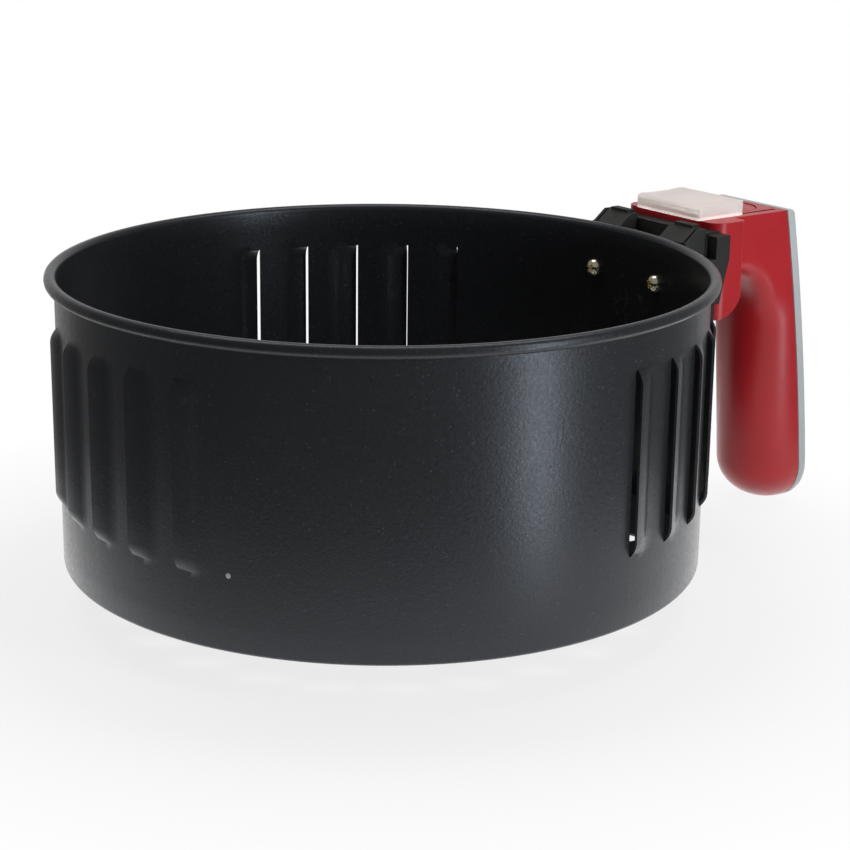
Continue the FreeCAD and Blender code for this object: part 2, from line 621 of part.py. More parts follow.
def make_handle_shell():
    collar = collar_form(0)
    arm = soften_hand_side(arm_and_grip(0, BRACKET_BACK_X + COLLAR_DEPTH / 2), 0, GRIP_EDGE_R)
    hollow = arm_and_grip(HANDLE_WALL, COLLAR_OUTER_X - 2 * HANDLE_WALL)
    hollow = soften_hand_side(hollow, HANDLE_WALL, GRIP_EDGE_R - HANDLE_WALL)
    form = collar.fuse(arm)
    shell = form.cut([collar_form(HANDLE_WALL), hollow])

    bosses = [rod(SHELL_BOSS_R, (BRACKET_BACK_X, side * SHELL_SCREW_Y, z),
                  (COLLAR_OUTER_X - HANDLE_WALL / 2, side * SHELL_SCREW_Y, z)).common(collar)
              for side in (1, -1) for z in SHELL_SCREW_Z]
    shelf = box((GRIP_INNER_TOP_X - GRIP_BEND_R, -ARM_HALF_W, SHELL_FLOOR_Z - HANDLE_WALL),
                (SPRING_X + SPRING_R + HANDLE_WALL, ARM_HALF_W, SHELL_FLOOR_Z)).common(form)
    post = rod(SPRING_R - 2 * SPRING_WIRE_R - SPRING_POST_GAP, (SPRING_X, 0, SHELL_FLOOR_Z - HANDLE_WALL),
               (SPRING_X, 0, SHELL_FLOOR_Z + SPRING_POST_H))
    lugs = []
    for side in (1, -1):
        inner_y, outer_y = sorted((side * LUG_INNER_Y, side * (LUG_INNER_Y + LUG_T)))
        lugs += [rod(LUG_R, (PIVOT_X, inner_y, PIVOT_Z), (PIVOT_X, outer_y, PIVOT_Z)),
                 box((PIVOT_X - LUG_R, inner_y, PIVOT_Z),
                     (PIVOT_X + LUG_R, outer_y, SHELL_ROOF_Z + HANDLE_WALL / 2))]
    shell = shell.fuse(bosses + [shelf, post] + lugs)

    cuts = [pill(-BUTTON_CLEARANCE, SHELL_ROOF_Z - 1, FAR),
            rod(PIN_R, (PIVOT_X, -LUG_INNER_Y - LUG_T, PIVOT_Z), (PIVOT_X, LUG_INNER_Y + LUG_T, PIVOT_Z))]
    for side in (1, -1):
        slot_low, slot_high = sorted((side * (LEG_Y - SLOT_CLEARANCE),
                                      side * (LEG_Y + LEG_T + SLOT_CLEARANCE)))
        cuts.append(box((GUARD_INNER_X + LEG_START - SLOT_CLEARANCE, slot_low, SHELL_ROOF_Z - 1),
                        (SLOT_END_X, slot_high, FAR)))
        cuts += [rod(SHELL_SCREW_R, (BRACKET_BACK_X, side * SHELL_SCREW_Y, z),
                     (BRACKET_BACK_X + SHELL_SCREW_REACH, side * SHELL_SCREW_Y, z))
                 for z in SHELL_SCREW_Z]
        cuts += [snap_tab(side, HANDLE_TOP_Z - drop, SNAP_GAP) for drop in SNAP_DROPS]
    return shell.cut(cuts)


def trim_plate(inner, outer, inset):
    """The bowed plate between two offsets of the parting line, seen inset from outside."""
    near, far = parting_arc(inner), parting_arc(outer)
    low_z, top_z = GRIP_LOW_Z, HANDLE_TOP_Z
    mid_z = (low_z + top_z) / 2
    side = face_of([
        edge_arc(near(low_z), near(mid_z), near(top_z)),
        edge_line(near(top_z), far(top_z)),
        edge_arc(far(top_z), far(mid_z), far(low_z)),
        edge_line(far(low_z), near(low_z)),
    ])
    return across(side, FAR).common(front_outline(inset, top_z - inset))


def make_trim_cover():
    plate = trim_plate(TRIM_REVEAL, TRIM_T, 0)
    rim_edges = []
    for edge in plate.Edges:
        middle = edge.valueAt((edge.FirstParameter + edge.LastParameter) / 2)
        if abs(middle.x - parting_arc(TRIM_T)(middle.z)[0]) < 0.01:
            rim_edges.append(edge)
    plate = plate.makeChamfer(TRIM_EDGE_R, rim_edges)
    seat = trim_plate(0, TRIM_REVEAL, TRIM_REVEAL_INSET)
    tabs = [snap_tab(side, HANDLE_TOP_Z - drop, 0) for side in (1, -1) for drop in SNAP_DROPS]
    return plate.fuse([seat] + tabs)


# Release button, guard and latch

def make_release_button():
    top_z = HANDLE_TOP_Z - BUTTON_BELOW_TOP
    low_z = top_z - BUTTON_DEPTH
    crown_z = top_z - BUTTON_CROWN_T
    flange_top = SHELL_ROOF_Z - FLANGE_GAP
    cap = pill(0, low_z, top_z).fuse(pill(-FLANGE_W, flange_top - FLANGE_T, flange_top))
    cap = cap.cut(pill(BUTTON_SIDE_T, low_z - 1, crown_z))
    stem_low = PIVOT_Z + ARM_T / 2 + STEM_GAP
    return cap.fuse(rod(STEM_R, (STEM_X, 0, stem_low), (STEM_X, 0, crown_z + BUTTON_CROWN_T / 2)))


def make_return_spring():
    """A coil of few flat faces, because it is small and hidden under the button."""
    low_z = SHELL_FLOOR_Z + SPRING_WIRE_R
    high_z = HANDLE_TOP_Z - BUTTON_BELOW_TOP - BUTTON_CROWN_T - SPRING_WIRE_R
    radius = SPRING_R - SPRING_WIRE_R
    steps = SPRING_TURNS * SPRING_STEPS_PER_TURN
    sections = []
    for step in range(steps + 1):
        corners = []
        for side in range(SPRING_WIRE_SIDES):
            angle = 2 * math.pi * side / SPRING_WIRE_SIDES
            corners.append(Vector(radius + SPRING_WIRE_R * math.cos(angle), 0, SPRING_WIRE_R * math.sin(angle)))
        wire = Part.makePolygon(corners + corners[:1])
        wire = turned(wire, step * 360 / SPRING_STEPS_PER_TURN)
        rise = (high_z - low_z) * step / steps
        sections.append(wire.translated(Vector(SPRING_X, 0, low_z + rise)))
    return Part.makeLoft(sections, True, True)


def guard_form(inset, low_z):
    """The guard's block, a little lower and rounder at its inner end, its top slightly dished."""
    inner_x = GUARD_INNER_X + inset
    outer_x = GUARD_INNER_X + GUARD_LENGTH - inset
    half_w = GUARD_HALF_W - inset
    top_z = HANDLE_TOP_Z + GUARD_H - inset
    shoulder = 3 * GUARD_EDGE_R
    front_z = top_z - GUARD_EDGE_R
    dish_z = top_z - GUARD_EDGE_R / 4
    side = face_of([
        edge_line((inner_x, 0, low_z), (inner_x, 0, front_z)),
        edge_arc((inner_x, 0, front_z), (inner_x + shoulder / 4, 0, top_z - GUARD_EDGE_R / 2),
                 (inner_x + shoulder, 0, dish_z)),
        edge_arc((inner_x + shoulder, 0, dish_z), ((inner_x + outer_x + shoulder) / 2, 0, dish_z - 0.1),
                 (outer_x, 0, top_z)),
        edge_line((outer_x, 0, top_z), (outer_x, 0, low_z)),
        edge_line((outer_x, 0, low_z), (inner_x, 0, low_z)),
    ])
    block = across(side, half_w)
    uprights = [e for e in block.Edges if abs(e.Vertexes[0].Z - e.Vertexes[-1].Z) > GUARD_H / 3
                and abs(e.Vertexes[0].X - e.Vertexes[-1].X) < 0.01]
    return block.makeFillet(GUARD_CORNER_R - inset / 2, uprights)


def make_button_guard():
    low_z = HANDLE_TOP_Z + GUARD_GAP
    cap = guard_form(0, low_z).cut(guard_form(GUARD_WALL, low_z - GUARD_WALL))
    leg_low = SHELL_ROOF_Z - GUARD_GAP - LEG_BARB_H
    start_x = GUARD_INNER_X + LEG_START
    leg = box((start_x, LEG_Y, leg_low), (start_x + LEG_LENGTH, LEG_Y + LEG_T, HANDLE_TOP_Z + GUARD_H - GUARD_WALL / 2))
    barb = box((start_x, LEG_Y, leg_low), (start_x + LEG_LENGTH, LEG_Y + LEG_T + LEG_BARB, leg_low + LEG_BARB_H))
    return cap.fuse(both_sides(leg) + both_sides(barb))


def make_latch_lever():
    """A bell crank: the button pushes its outer arm down and its hook swings to the basket."""
    hub_half = LUG_INNER_Y - LEVER_SIDE_CLEARANCE
    hub = rod(HUB_R, (PIVOT_X, -hub_half, PIVOT_Z), (PIVOT_X, hub_half, PIVOT_Z))
    arm = box((PIVOT_X, -LEVER_HALF_W, PIVOT_Z - ARM_T / 2),
              (STEM_X + ARM_TIP, LEVER_HALF_W, PIVOT_Z + ARM_T / 2))
    back_x = HOOK_X - HOOK_ARM_T / 2
    face_x = HOOK_X + HOOK_ARM_T / 2
    elbow_z = BRACKET_LOW_Z + HOOK_ARM_T
    hook = across(polygon([(PIVOT_X - HUB_R / 2, 0, PIVOT_Z + HUB_R * 0.85), (back_x, 0, elbow_z + HOOK_ARM_T / 2),
                           (back_x, 0, HOOK_LOW_Z), (face_x, 0, HOOK_LOW_Z),
                           (face_x + HOOK_REACH, 0, HOOK_LOW_Z + HOOK_H * 0.7),
                           (face_x + HOOK_REACH, 0, HOOK_LOW_Z + HOOK_H), (face_x, 0, HOOK_LOW_Z + HOOK_H),
                           (face_x, 0, elbow_z - HOOK_ARM_T / 2),
                           (PIVOT_X + HUB_R / 4, 0, PIVOT_Z - HUB_R * 0.95)]), LEVER_HALF_W)
    bore = rod(PIN_R + PIN_CLEARANCE, (PIVOT_X, -FAR, PIVOT_Z), (PIVOT_X, FAR, PIVOT_Z))
    return hub.fuse([arm, hook]).cut(bore)


def make_latch_pin():
    half = LUG_INNER_Y + LUG_T
    return rod(PIN_R, (PIVOT_X, -half, PIVOT_Z), (PIVOT_X, half, PIVOT_Z))


def main():
    os.makedirs("parts", exist_ok=True)
    save("basket_wall", make_basket_wall())
    save("bottom_grid", make_bottom_grid())
    save("bracket", make_bracket())
    for name, side in (("left", 1), ("right", -1)):
        save("bracket_screw_" + name, make_bracket_screw(side))
        save("bracket_nut_" + name, make_bracket_nut(side))
        save("shell_screw_lower_" + name, make_shell_screw(side, SHELL_SCREW_Z[0]))
        save("shell_screw_upper_" + name, make_shell_screw(side, SHELL_SCREW_Z[1]))
    save("handle_shell", make_handle_shell())
    save("trim_cover", make_trim_cover())
    save("release_button", make_release_button())
    save("return_spring", make_return_spring())
    save("button_guard", make_button_guard())
    save("latch_lever", make_latch_lever())
    save("latch_pin", make_latch_pin())


main()
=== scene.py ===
"""Looks of a louvred air fryer basket with a red side handle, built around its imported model.

Lengths are metres in the model's own frame: the origin is the centre of the basket's base,
+Z is up and +X points to the handle.
"""

import json
import math

import bpy
from mathutils import Euler, Matrix, Vector

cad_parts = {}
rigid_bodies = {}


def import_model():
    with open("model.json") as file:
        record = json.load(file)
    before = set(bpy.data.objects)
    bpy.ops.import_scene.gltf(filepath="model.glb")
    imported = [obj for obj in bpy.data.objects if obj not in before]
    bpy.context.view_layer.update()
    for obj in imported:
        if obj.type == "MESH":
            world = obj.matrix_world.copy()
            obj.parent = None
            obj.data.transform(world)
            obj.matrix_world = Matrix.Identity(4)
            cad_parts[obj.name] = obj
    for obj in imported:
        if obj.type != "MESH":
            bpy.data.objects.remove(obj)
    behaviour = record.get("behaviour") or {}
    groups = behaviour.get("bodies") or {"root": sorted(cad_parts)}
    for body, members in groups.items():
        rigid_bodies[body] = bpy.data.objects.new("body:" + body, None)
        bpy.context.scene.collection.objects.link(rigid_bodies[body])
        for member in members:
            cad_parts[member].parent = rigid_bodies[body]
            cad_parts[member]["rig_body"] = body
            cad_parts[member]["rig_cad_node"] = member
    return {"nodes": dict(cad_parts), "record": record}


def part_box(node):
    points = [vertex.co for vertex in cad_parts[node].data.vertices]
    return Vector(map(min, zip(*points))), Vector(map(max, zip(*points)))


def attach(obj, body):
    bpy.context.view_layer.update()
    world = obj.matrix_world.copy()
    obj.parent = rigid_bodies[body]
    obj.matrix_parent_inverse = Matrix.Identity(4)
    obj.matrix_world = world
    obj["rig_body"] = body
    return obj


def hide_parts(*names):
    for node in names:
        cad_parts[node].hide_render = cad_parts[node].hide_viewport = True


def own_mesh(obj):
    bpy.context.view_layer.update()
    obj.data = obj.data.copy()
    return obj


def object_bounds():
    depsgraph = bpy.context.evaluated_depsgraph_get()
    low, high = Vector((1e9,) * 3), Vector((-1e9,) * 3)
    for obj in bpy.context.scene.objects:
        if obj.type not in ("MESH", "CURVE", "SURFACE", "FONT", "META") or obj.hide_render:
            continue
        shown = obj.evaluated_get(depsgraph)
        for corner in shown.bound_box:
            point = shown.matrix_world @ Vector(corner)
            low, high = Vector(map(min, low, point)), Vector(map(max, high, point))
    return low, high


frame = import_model()
MODEL_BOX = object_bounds()

bl_info = {
    "name": "Air Fryer Basket",
    "version": (1, 0, 0),
    "blender": (4, 5, 0),
    "location": "View3D > Sidebar > Basket",
    "description": "Dresses a louvred basket with its handle, guard, button and stage",
    "category": "Add Mesh",
}

MM = 0.001
WALL_LOW, WALL_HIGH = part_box("basket_wall")
SHELL_LOW, SHELL_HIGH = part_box("handle_shell")
SCREW_LOW, SCREW_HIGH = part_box("bracket_screw_left")
RIM_RADIUS = WALL_HIGH[0]

# How finely the sheet and the grip are divided
BEND_STEPS = 4
CURL_STEPS = 12
END_STEPS = 6
STRAIGHT_STEPS = 6
HOOD_STEPS = 6
WALL_STEP = math.radians(2.5)
GRIP_ROWS = 52
GRIP_COLUMNS = 48

# Form of a hood: how far its middle swells, how full its ends are, and the plain sheet kept beside them
HOOD_BELLY = 0.14
HOOD_FULLNESS = 0.8
HOOD_MARGIN = 2 * MM

# The grip's lap over the arm, its clearance at the end, and the least half size of its section
JOINT_LAP = 0.3 * MM
END_GAP = 0.05 * MM
LEAST_HALF = 0.2 * MM

# Corners nearer than these become one, and faces flatter than this angle become one
MERGE_GAP = 0.001 * MM
SEAM_GAP = 0.01 * MM
FLAT_ANGLE = math.radians(0.5)

# Widths of the rounded edges, and of the band of painted glow along the guard's lower edge
BRACKET_EDGE = 0.35 * MM
TRIM_EDGE = 0.2 * MM
BUTTON_EDGE = 0.3 * MM
GUARD_EDGE = 0.25 * MM
GUARD_GLOW_BAND = 1.3 * MM

# Side views in millimetres, as distances from the axis and heights, and the widths they are drawn over:
# what is cut from the front of the bracket's end blocks, and what fills them out
FRONT_CUT = ((112, 90.05), (120.6, 90.05), (120.6, 99), (112, 99))
FRONT_SPAN = (25.5, 31)
END_FILL = ((120.6, 77), (120.6, 98.0), (127.0, 98.0), (127.0, 89.5), (125.8, 85.5), (124.6, 80.5),
            (123.1, 74.2), (121.6, 74.2))
END_SPAN = (24.75, 30)

# Turns in degrees of the two arms of a screw's cross recess
RECESS_TURNS = (30, 120)

# Share of the floor that is plain white to the camera, where a shadow may fall
FLOOR_SHADE = 0.8


# Settings

class BasketSizes(bpy.types.PropertyGroup):
    """Sizes of the pressed sheet that the solids don't hold as smooth forms."""
    sheet: bpy.props.FloatProperty(
        name="Sheet", description="Thickness of the steel sheet", default=0.8 * MM, unit="LENGTH")
    curl_radius: bpy.props.FloatProperty(
        name="Curl radius", description="Outer radius of the rolled rim", default=2.0 * MM, unit="LENGTH")
    curl_sweep: bpy.props.FloatProperty(
        name="Curl sweep", description="How far round the rim's sheet is rolled",
        default=math.radians(300), subtype="ANGLE")
    base_bend: bpy.props.FloatProperty(
        name="Base bend", description="Outer radius of the bend at the base",
        default=1.4 * MM, unit="LENGTH")
    base_lip: bpy.props.FloatProperty(
        name="Base lip", description="Width of the lip under the base plate",
        default=5.4 * MM, unit="LENGTH")
    slit_low: bpy.props.FloatProperty(
        name="Slit bottom", description="Height of the lower end of a slit",
        default=23.5 * MM, unit="LENGTH")
    slit_high: bpy.props.FloatProperty(
        name="Slit top", description="Height of the upper end of a slit", default=82.0 * MM, unit="LENGTH")
    slit_gap: bpy.props.FloatProperty(
        name="Slit gap", description="Width of the cut along a slit", default=0.5 * MM, unit="LENGTH")
    hood_rise: bpy.props.FloatProperty(
        name="Hood rise", description="How far a hood stands out of the wall",
        default=2.8 * MM, unit="LENGTH")
    hood_width: bpy.props.FloatProperty(
        name="Hood width", description="Width of a hood round the wall", default=8.0 * MM, unit="LENGTH")
    hood_end: bpy.props.FloatProperty(
        name="Hood end", description="Length of a hood's rounded end", default=4.5 * MM, unit="LENGTH")
    louvre_pitch: bpy.props.FloatProperty(
        name="Louvre pitch", description="Angle from one slit to the next",
        default=math.radians(10.2), subtype="ANGLE")
    louvre_turn: bpy.props.FloatProperty(
        name="Louvre turn", description="Turn of all the louvres about the basket's axis",
        default=math.radians(0.45), subtype="ANGLE")
    louvres: bpy.props.IntProperty(
        name="Louvres", description="Louvres in each group", default=5, min=1)
    groups: bpy.props.IntProperty(
        name="Groups", description="Groups of louvres round the wall", default=3, min=1)


class GripSizes(bpy.types.PropertyGroup):
    """Sizes of the grip's rounded skin, which carries on from the moulded arm above it."""
    joint: bpy.props.FloatProperty(
        name="Joint", description="Height where the grip carries on from the arm",
        default=75.0 * MM, unit="LENGTH")
    bend_foot: bpy.props.FloatProperty(
        name="Bend foot", description="Height where the bend under the arm ends",
        default=67.0 * MM, unit="LENGTH")
    bend_radius: bpy.props.FloatProperty(
        name="Bend radius", description="Radius of the bend under the arm",
        default=13.0 * MM, unit="LENGTH")
    inner_top: bpy.props.FloatProperty(
        name="Inner at foot", description="Distance of the grip's inner side from the axis at the bend's foot",
        default=157.3 * MM, unit="LENGTH")
    inner_low: bpy.props.FloatProperty(
        name="Inner at end", description="Distance of the grip's inner side from the axis at its end",
        default=161.3 * MM, unit="LENGTH")
    parting_top: bpy.props.FloatProperty(
        name="Parting top", description="Distance of the parting line from the axis at the top",
        default=165.8 * MM, unit="LENGTH")
    parting_bow: bpy.props.FloatProperty(
        name="Parting bow", description="How far the parting line bows outwards",
        default=1.9 * MM, unit="LENGTH")
    half_width: bpy.props.FloatProperty(
        name="Half width", description="Half the width at the top", default=18.3 * MM, unit="LENGTH")
    end_radius: bpy.props.FloatProperty(
        name="End radius", description="Radius of the grip's round end", default=17.0 * MM, unit="LENGTH")
    edge_radius: bpy.props.FloatProperty(
        name="Edge radius", description="Radius of the arm's long edges", default=6.5 * MM, unit="LENGTH")
    blend_length: bpy.props.FloatProperty(
        name="Blend length", description="Length over which the section turns from the arm's to an ellipse",
        default=16 * MM, unit="LENGTH")
    end_rounding: bpy.props.FloatProperty(
        name="End rounding", description="Height over which the hand side closes at the end",
        default=17 * MM, unit="LENGTH")
    below_start: bpy.props.FloatProperty(
        name="Grip start", description="Distance from the axis beyond which the shell below the joint is grip",
        default=142.0 * MM, unit="LENGTH")
    wall: bpy.props.FloatProperty(
        name="Wall", description="Thickness of the shell", default=2.4 * MM, unit="LENGTH")
    trim_depth: bpy.props.FloatProperty(
        name="Trim depth", description="How far out of the parting the trim's outer face begins",
        default=3.6 * MM, unit="LENGTH")
    trim_spread: bpy.props.FloatProperty(
        name="Trim spread", description="Growth of the trim's outer face towards its edge", default=1.05)


class BasketColours(bpy.types.PropertyGroup):
    """Base colours of the finishes."""
    coating: bpy.props.FloatVectorProperty(
        name="Coating", description="Non-stick coating", subtype="COLOR", default=(0.0140, 0.0143, 0.0155))
    fleck: bpy.props.FloatVectorProperty(
        name="Fleck", description="Metal fleck in the coating", subtype="COLOR",
        default=(0.055, 0.06, 0.075))
    sheen: bpy.props.FloatVectorProperty(
        name="Sheen", description="Tint of the coating's gloss", subtype="COLOR", default=(0.86, 0.91, 1.0))
    red: bpy.props.FloatVectorProperty(
        name="Red", description="Handle shell and button", subtype="COLOR", default=(0.45, 0.014, 0.020))
    black: bpy.props.FloatVectorProperty(
        name="Black", description="Bracket and lever", subtype="COLOR", default=(0.023, 0.022, 0.020))
    silver: bpy.props.FloatVectorProperty(
        name="Silver", description="Trim cover", subtype="COLOR", default=(0.50, 0.51, 0.51))
    frost: bpy.props.FloatVectorProperty(
        name="Frost", description="Button guard", subtype="COLOR", default=(0.84, 0.80, 0.76))
    nickel: bpy.props.FloatVectorProperty(
        name="Nickel", description="Wall screws", subtype="COLOR", default=(0.80, 0.74, 0.55))
    zinc: bpy.props.FloatVectorProperty(
        name="Zinc", description="Nuts, pin and hidden screws", subtype="COLOR", default=(0.60, 0.61, 0.62))


class Marks(bpy.types.PropertyGroup):
    """Marks that the photo shows on the sheet."""
    pip_place: bpy.props.FloatVectorProperty(
        name="Pip place", description="Where the bare weld pip is", subtype="TRANSLATION", unit="LENGTH",
        default=(-92.4 * MM, -53.9 * MM, 24.5 * MM))
    pip_radius: bpy.props.FloatProperty(
        name="Pip radius", description="Radius of the weld pip", default=0.95 * MM, unit="LENGTH")
    scuff_place: bpy.props.FloatVectorProperty(
        name="Scuff place", description="Middle of the scuffs inside the wall", subtype="TRANSLATION",
        unit="LENGTH", default=(106.0 * MM, -3.0 * MM, 72.0 * MM))
    scuff_reach: bpy.props.FloatProperty(
        name="Scuff reach", description="How far the scuffs spread", default=13 * MM, unit="LENGTH")


class ScrewSizes(bpy.types.PropertyGroup):
    """Sizes of the pan screws whose heads show inside the wall."""
    head_radius: bpy.props.FloatProperty(
        name="Head radius", description="Radius of the head", default=3.15 * MM, unit="LENGTH")
    head_height: bpy.props.FloatProperty(
        name="Head height", description="Height of the head", default=2.4 * MM, unit="LENGTH")
    shank_radius: bpy.props.FloatProperty(
        name="Shank radius", description="Radius of the shank", default=2.0 * MM, unit="LENGTH")
    length: bpy.props.FloatProperty(
        name="Length", description="Length under the head", default=13.0 * MM, unit="LENGTH")
    turn: bpy.props.FloatProperty(
        name="Turn", description="Angle of the screws from the handle",
        default=math.radians(8.85), subtype="ANGLE")
    recess_width: bpy.props.FloatProperty(
        name="Recess width", description="Width of the cross recess", default=0.95 * MM, unit="LENGTH")
    recess_length: bpy.props.FloatProperty(
        name="Recess length", description="Length of each arm pair", default=3.7 * MM, unit="LENGTH")
    recess_depth: bpy.props.FloatProperty(
        name="Recess depth", description="Depth of the cross recess", default=1.3 * MM, unit="LENGTH")


class StageSettings(bpy.types.PropertyGroup):
    """Camera, lamps and backdrop."""
    camera_place: bpy.props.FloatVectorProperty(
        name="Camera place", description="Where the camera stands", subtype="TRANSLATION",
        unit="LENGTH", default=(-0.3934, -0.5639, 0.2450))
    camera_pitch: bpy.props.FloatProperty(
        name="Camera pitch", description="How far the camera looks down",
        default=math.radians(16.45), subtype="ANGLE")
    camera_turn: bpy.props.FloatProperty(
        name="Camera turn", description="Turn of the camera about the upright, from looking along +Y",
        default=math.radians(-34.9), subtype="ANGLE")
    camera_roll: bpy.props.FloatProperty(
        name="Camera roll", description="Turn of the camera about its line of sight",
        default=math.radians(0.337), subtype="ANGLE")
    lens: bpy.props.FloatProperty(name="Lens", description="Focal length in millimetres", default=90.71)
    shift: bpy.props.FloatVectorProperty(
        name="Shift", description="Sideways and upward shift of the frame", size=2,
        default=(0.0508, 0.0016))
    board: bpy.props.FloatProperty(
        name="Board", description="Radius of the pale board under the object", default=0.24, unit="LENGTH")
    gloss_place: bpy.props.FloatVectorProperty(
        name="Gloss place", description="Middle of the part of the board that shines in the coating",
        subtype="TRANSLATION", unit="LENGTH", default=(0.05, -0.02, -0.015))
    board_gloss: bpy.props.FloatProperty(
        name="Board gloss", description="How much brighter the board is there than white", default=0.6)
    strip_turn: bpy.props.FloatProperty(
        name="Strip turn", description="Degrees from the camera round to the tall strip lamp", default=51.0)
    strip_power: bpy.props.FloatProperty(
        name="Strip power", description="Watts of the strip lamp", default=7.0)
    overhead_power: bpy.props.FloatProperty(
        name="Overhead power", description="Watts of the overhead lamp", default=9.0)
    soft_light: bpy.props.FloatProperty(
        name="Soft light", description="Strength of the light from all round", default=0.2)
    room_light: bpy.props.FloatProperty(
        name="Room light", description="Strength of the room before the object, seen in gloss",
        default=0.25)
    backdrop_gloss: bpy.props.FloatProperty(
        name="Backdrop gloss", description="Strength of the white backdrop seen in gloss", default=0.75)
    backdrop_start: bpy.props.FloatProperty(
        name="Backdrop start", description="Where the white backdrop begins, as a share of facing",
        default=0.6)
    backdrop_full: bpy.props.FloatProperty(
        name="Backdrop full", description="Where the backdrop is full white, as a share of facing",
        default=0.9)


# Helpers for modelling

def clear_selection():
    if bpy.context.object and bpy.context.object.mode != "OBJECT":
        bpy.ops.object.mode_set(mode="OBJECT")
    bpy.ops.object.select_all(action="DESELECT")


def activate(piece):
    clear_selection()
    piece.select_set(True)
    bpy.context.view_layer.objects.active = piece


def named(name):
    piece = bpy.context.object
    piece.name = name
    piece.data.name = name
    return piece


def apply_modifier(piece, kind, **values):
    activate(piece)
    modifier = piece.modifiers.new(kind.title(), kind)
    for key, value in values.items():
        setattr(modifier, key, value)
    bpy.ops.object.modifier_apply(modifier=modifier.name)


def settle(piece):
    """Puts a piece's place into its mesh, so that its object stands at the origin."""
    activate(piece)
    bpy.ops.object.transform_apply(location=True, rotation=True, scale=True)


def smooth(piece, degrees=35):
    activate(piece)
    bpy.ops.object.shade_smooth_by_angle(angle=math.radians(degrees))


def finish_piece(piece, material, body, slot, *nodes):
    piece.data.materials.clear()
    piece.data.materials.append(material)
    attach(piece, body)
    if nodes:
        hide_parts(*nodes)
    return piece


def merged_copy(node, name):
    """A copy of a solid's mesh with its corners joined, flat areas in one face and a name of its own."""
    activate(frame["nodes"][node])
    bpy.ops.object.duplicate()
    piece = named(name)
    piece.parent = None
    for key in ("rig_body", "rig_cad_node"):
        del piece[key]
    bpy.ops.object.mode_set(mode="EDIT")
    bpy.ops.mesh.select_all(action="SELECT")
    bpy.ops.mesh.customdata_custom_splitnormals_clear()
    bpy.ops.mesh.remove_doubles(threshold=MERGE_GAP)
    bpy.ops.mesh.dissolve_limited(angle_limit=FLAT_ANGLE)
    bpy.ops.object.mode_set(mode="OBJECT")
    return piece


# Helpers for finishes

class Finish:
    """A node material under construction, with short names for the nodes that the finishes share."""

    def __init__(self, name):
        self.material = bpy.data.materials.new(name)
        self.material.use_nodes = True
        self.tree = self.material.node_tree
        self.shader = self.tree.nodes["Principled BSDF"]
        self.place = self.add("ShaderNodeTexCoord").outputs["Object"]

    def add(self, kind, **values):
        node = self.tree.nodes.new(kind)
        for key, value in values.items():
            setattr(node, key, value)
        return node

    def link(self, source, target):
        self.tree.links.new(source, target)

    def noise(self, size, detail=2.0, rough=0.5, place=None):
        """Cloudy noise whose blotches are about as large as the size given."""
        node = self.add("ShaderNodeTexNoise")
        node.inputs["Scale"].default_value = 1 / size
        node.inputs["Detail"].default_value = detail
        node.inputs["Roughness"].default_value = rough
        self.link(place or self.place, node.inputs["Vector"])
        return node.outputs["Fac"]

    def cells(self, size, output="Distance", feature="F1"):
        node = self.add("ShaderNodeTexVoronoi", feature=feature)
        node.inputs["Scale"].default_value = 1 / size
        self.link(self.place, node.inputs["Vector"])
        return node.outputs[output]

    def ramp(self, value, low, high, start=0.0, end=1.0):
        node = self.add("ShaderNodeMapRange")
        node.inputs["From Min"].default_value = low
        node.inputs["From Max"].default_value = high
        node.inputs["To Min"].default_value = start
        node.inputs["To Max"].default_value = end
        self.link(value, node.inputs["Value"])
        return node.outputs["Result"]

    def times(self, first, second):
        node = self.add("ShaderNodeMath", operation="MULTIPLY")
        self.link(first, node.inputs[0])
        self.link(second, node.inputs[1])
        return node.outputs[0]

    def spot(self, place, radius, core):
        """One inside a ball, falling to nought between the core and its radius."""
        node = self.add("ShaderNodeVectorMath", operation="DISTANCE")
        self.link(self.place, node.inputs[0])
        node.inputs[1].default_value = place
        return self.ramp(node.outputs["Value"], radius, core * radius)

    def mix(self, share, first, second):
        node = self.add("ShaderNodeMix", data_type="RGBA")
        self.link(share, node.inputs["Factor"])
        for socket, colour in ((node.inputs["A"], first), (node.inputs["B"], second)):
            if isinstance(colour, bpy.types.NodeSocket):
                self.link(colour, socket)
            else:
                socket.default_value = (*colour, 1)
        return node.outputs["Result"]

    def bump(self, height, depth, strength=1.0):
        node = self.add("ShaderNodeBump")
        node.inputs["Strength"].default_value = strength
        node.inputs["Distance"].default_value = depth
        self.link(height, node.inputs["Height"])
        self.link(node.outputs["Normal"], self.shader.inputs["Normal"])

    def set(self, **values):
        for key, value in values.items():
            socket = self.shader.inputs[key.replace("_", " ").title().replace("Ior", "IOR")]
            socket.default_value = value


def darker(colour, share):
    return tuple(c * share for c in colour)


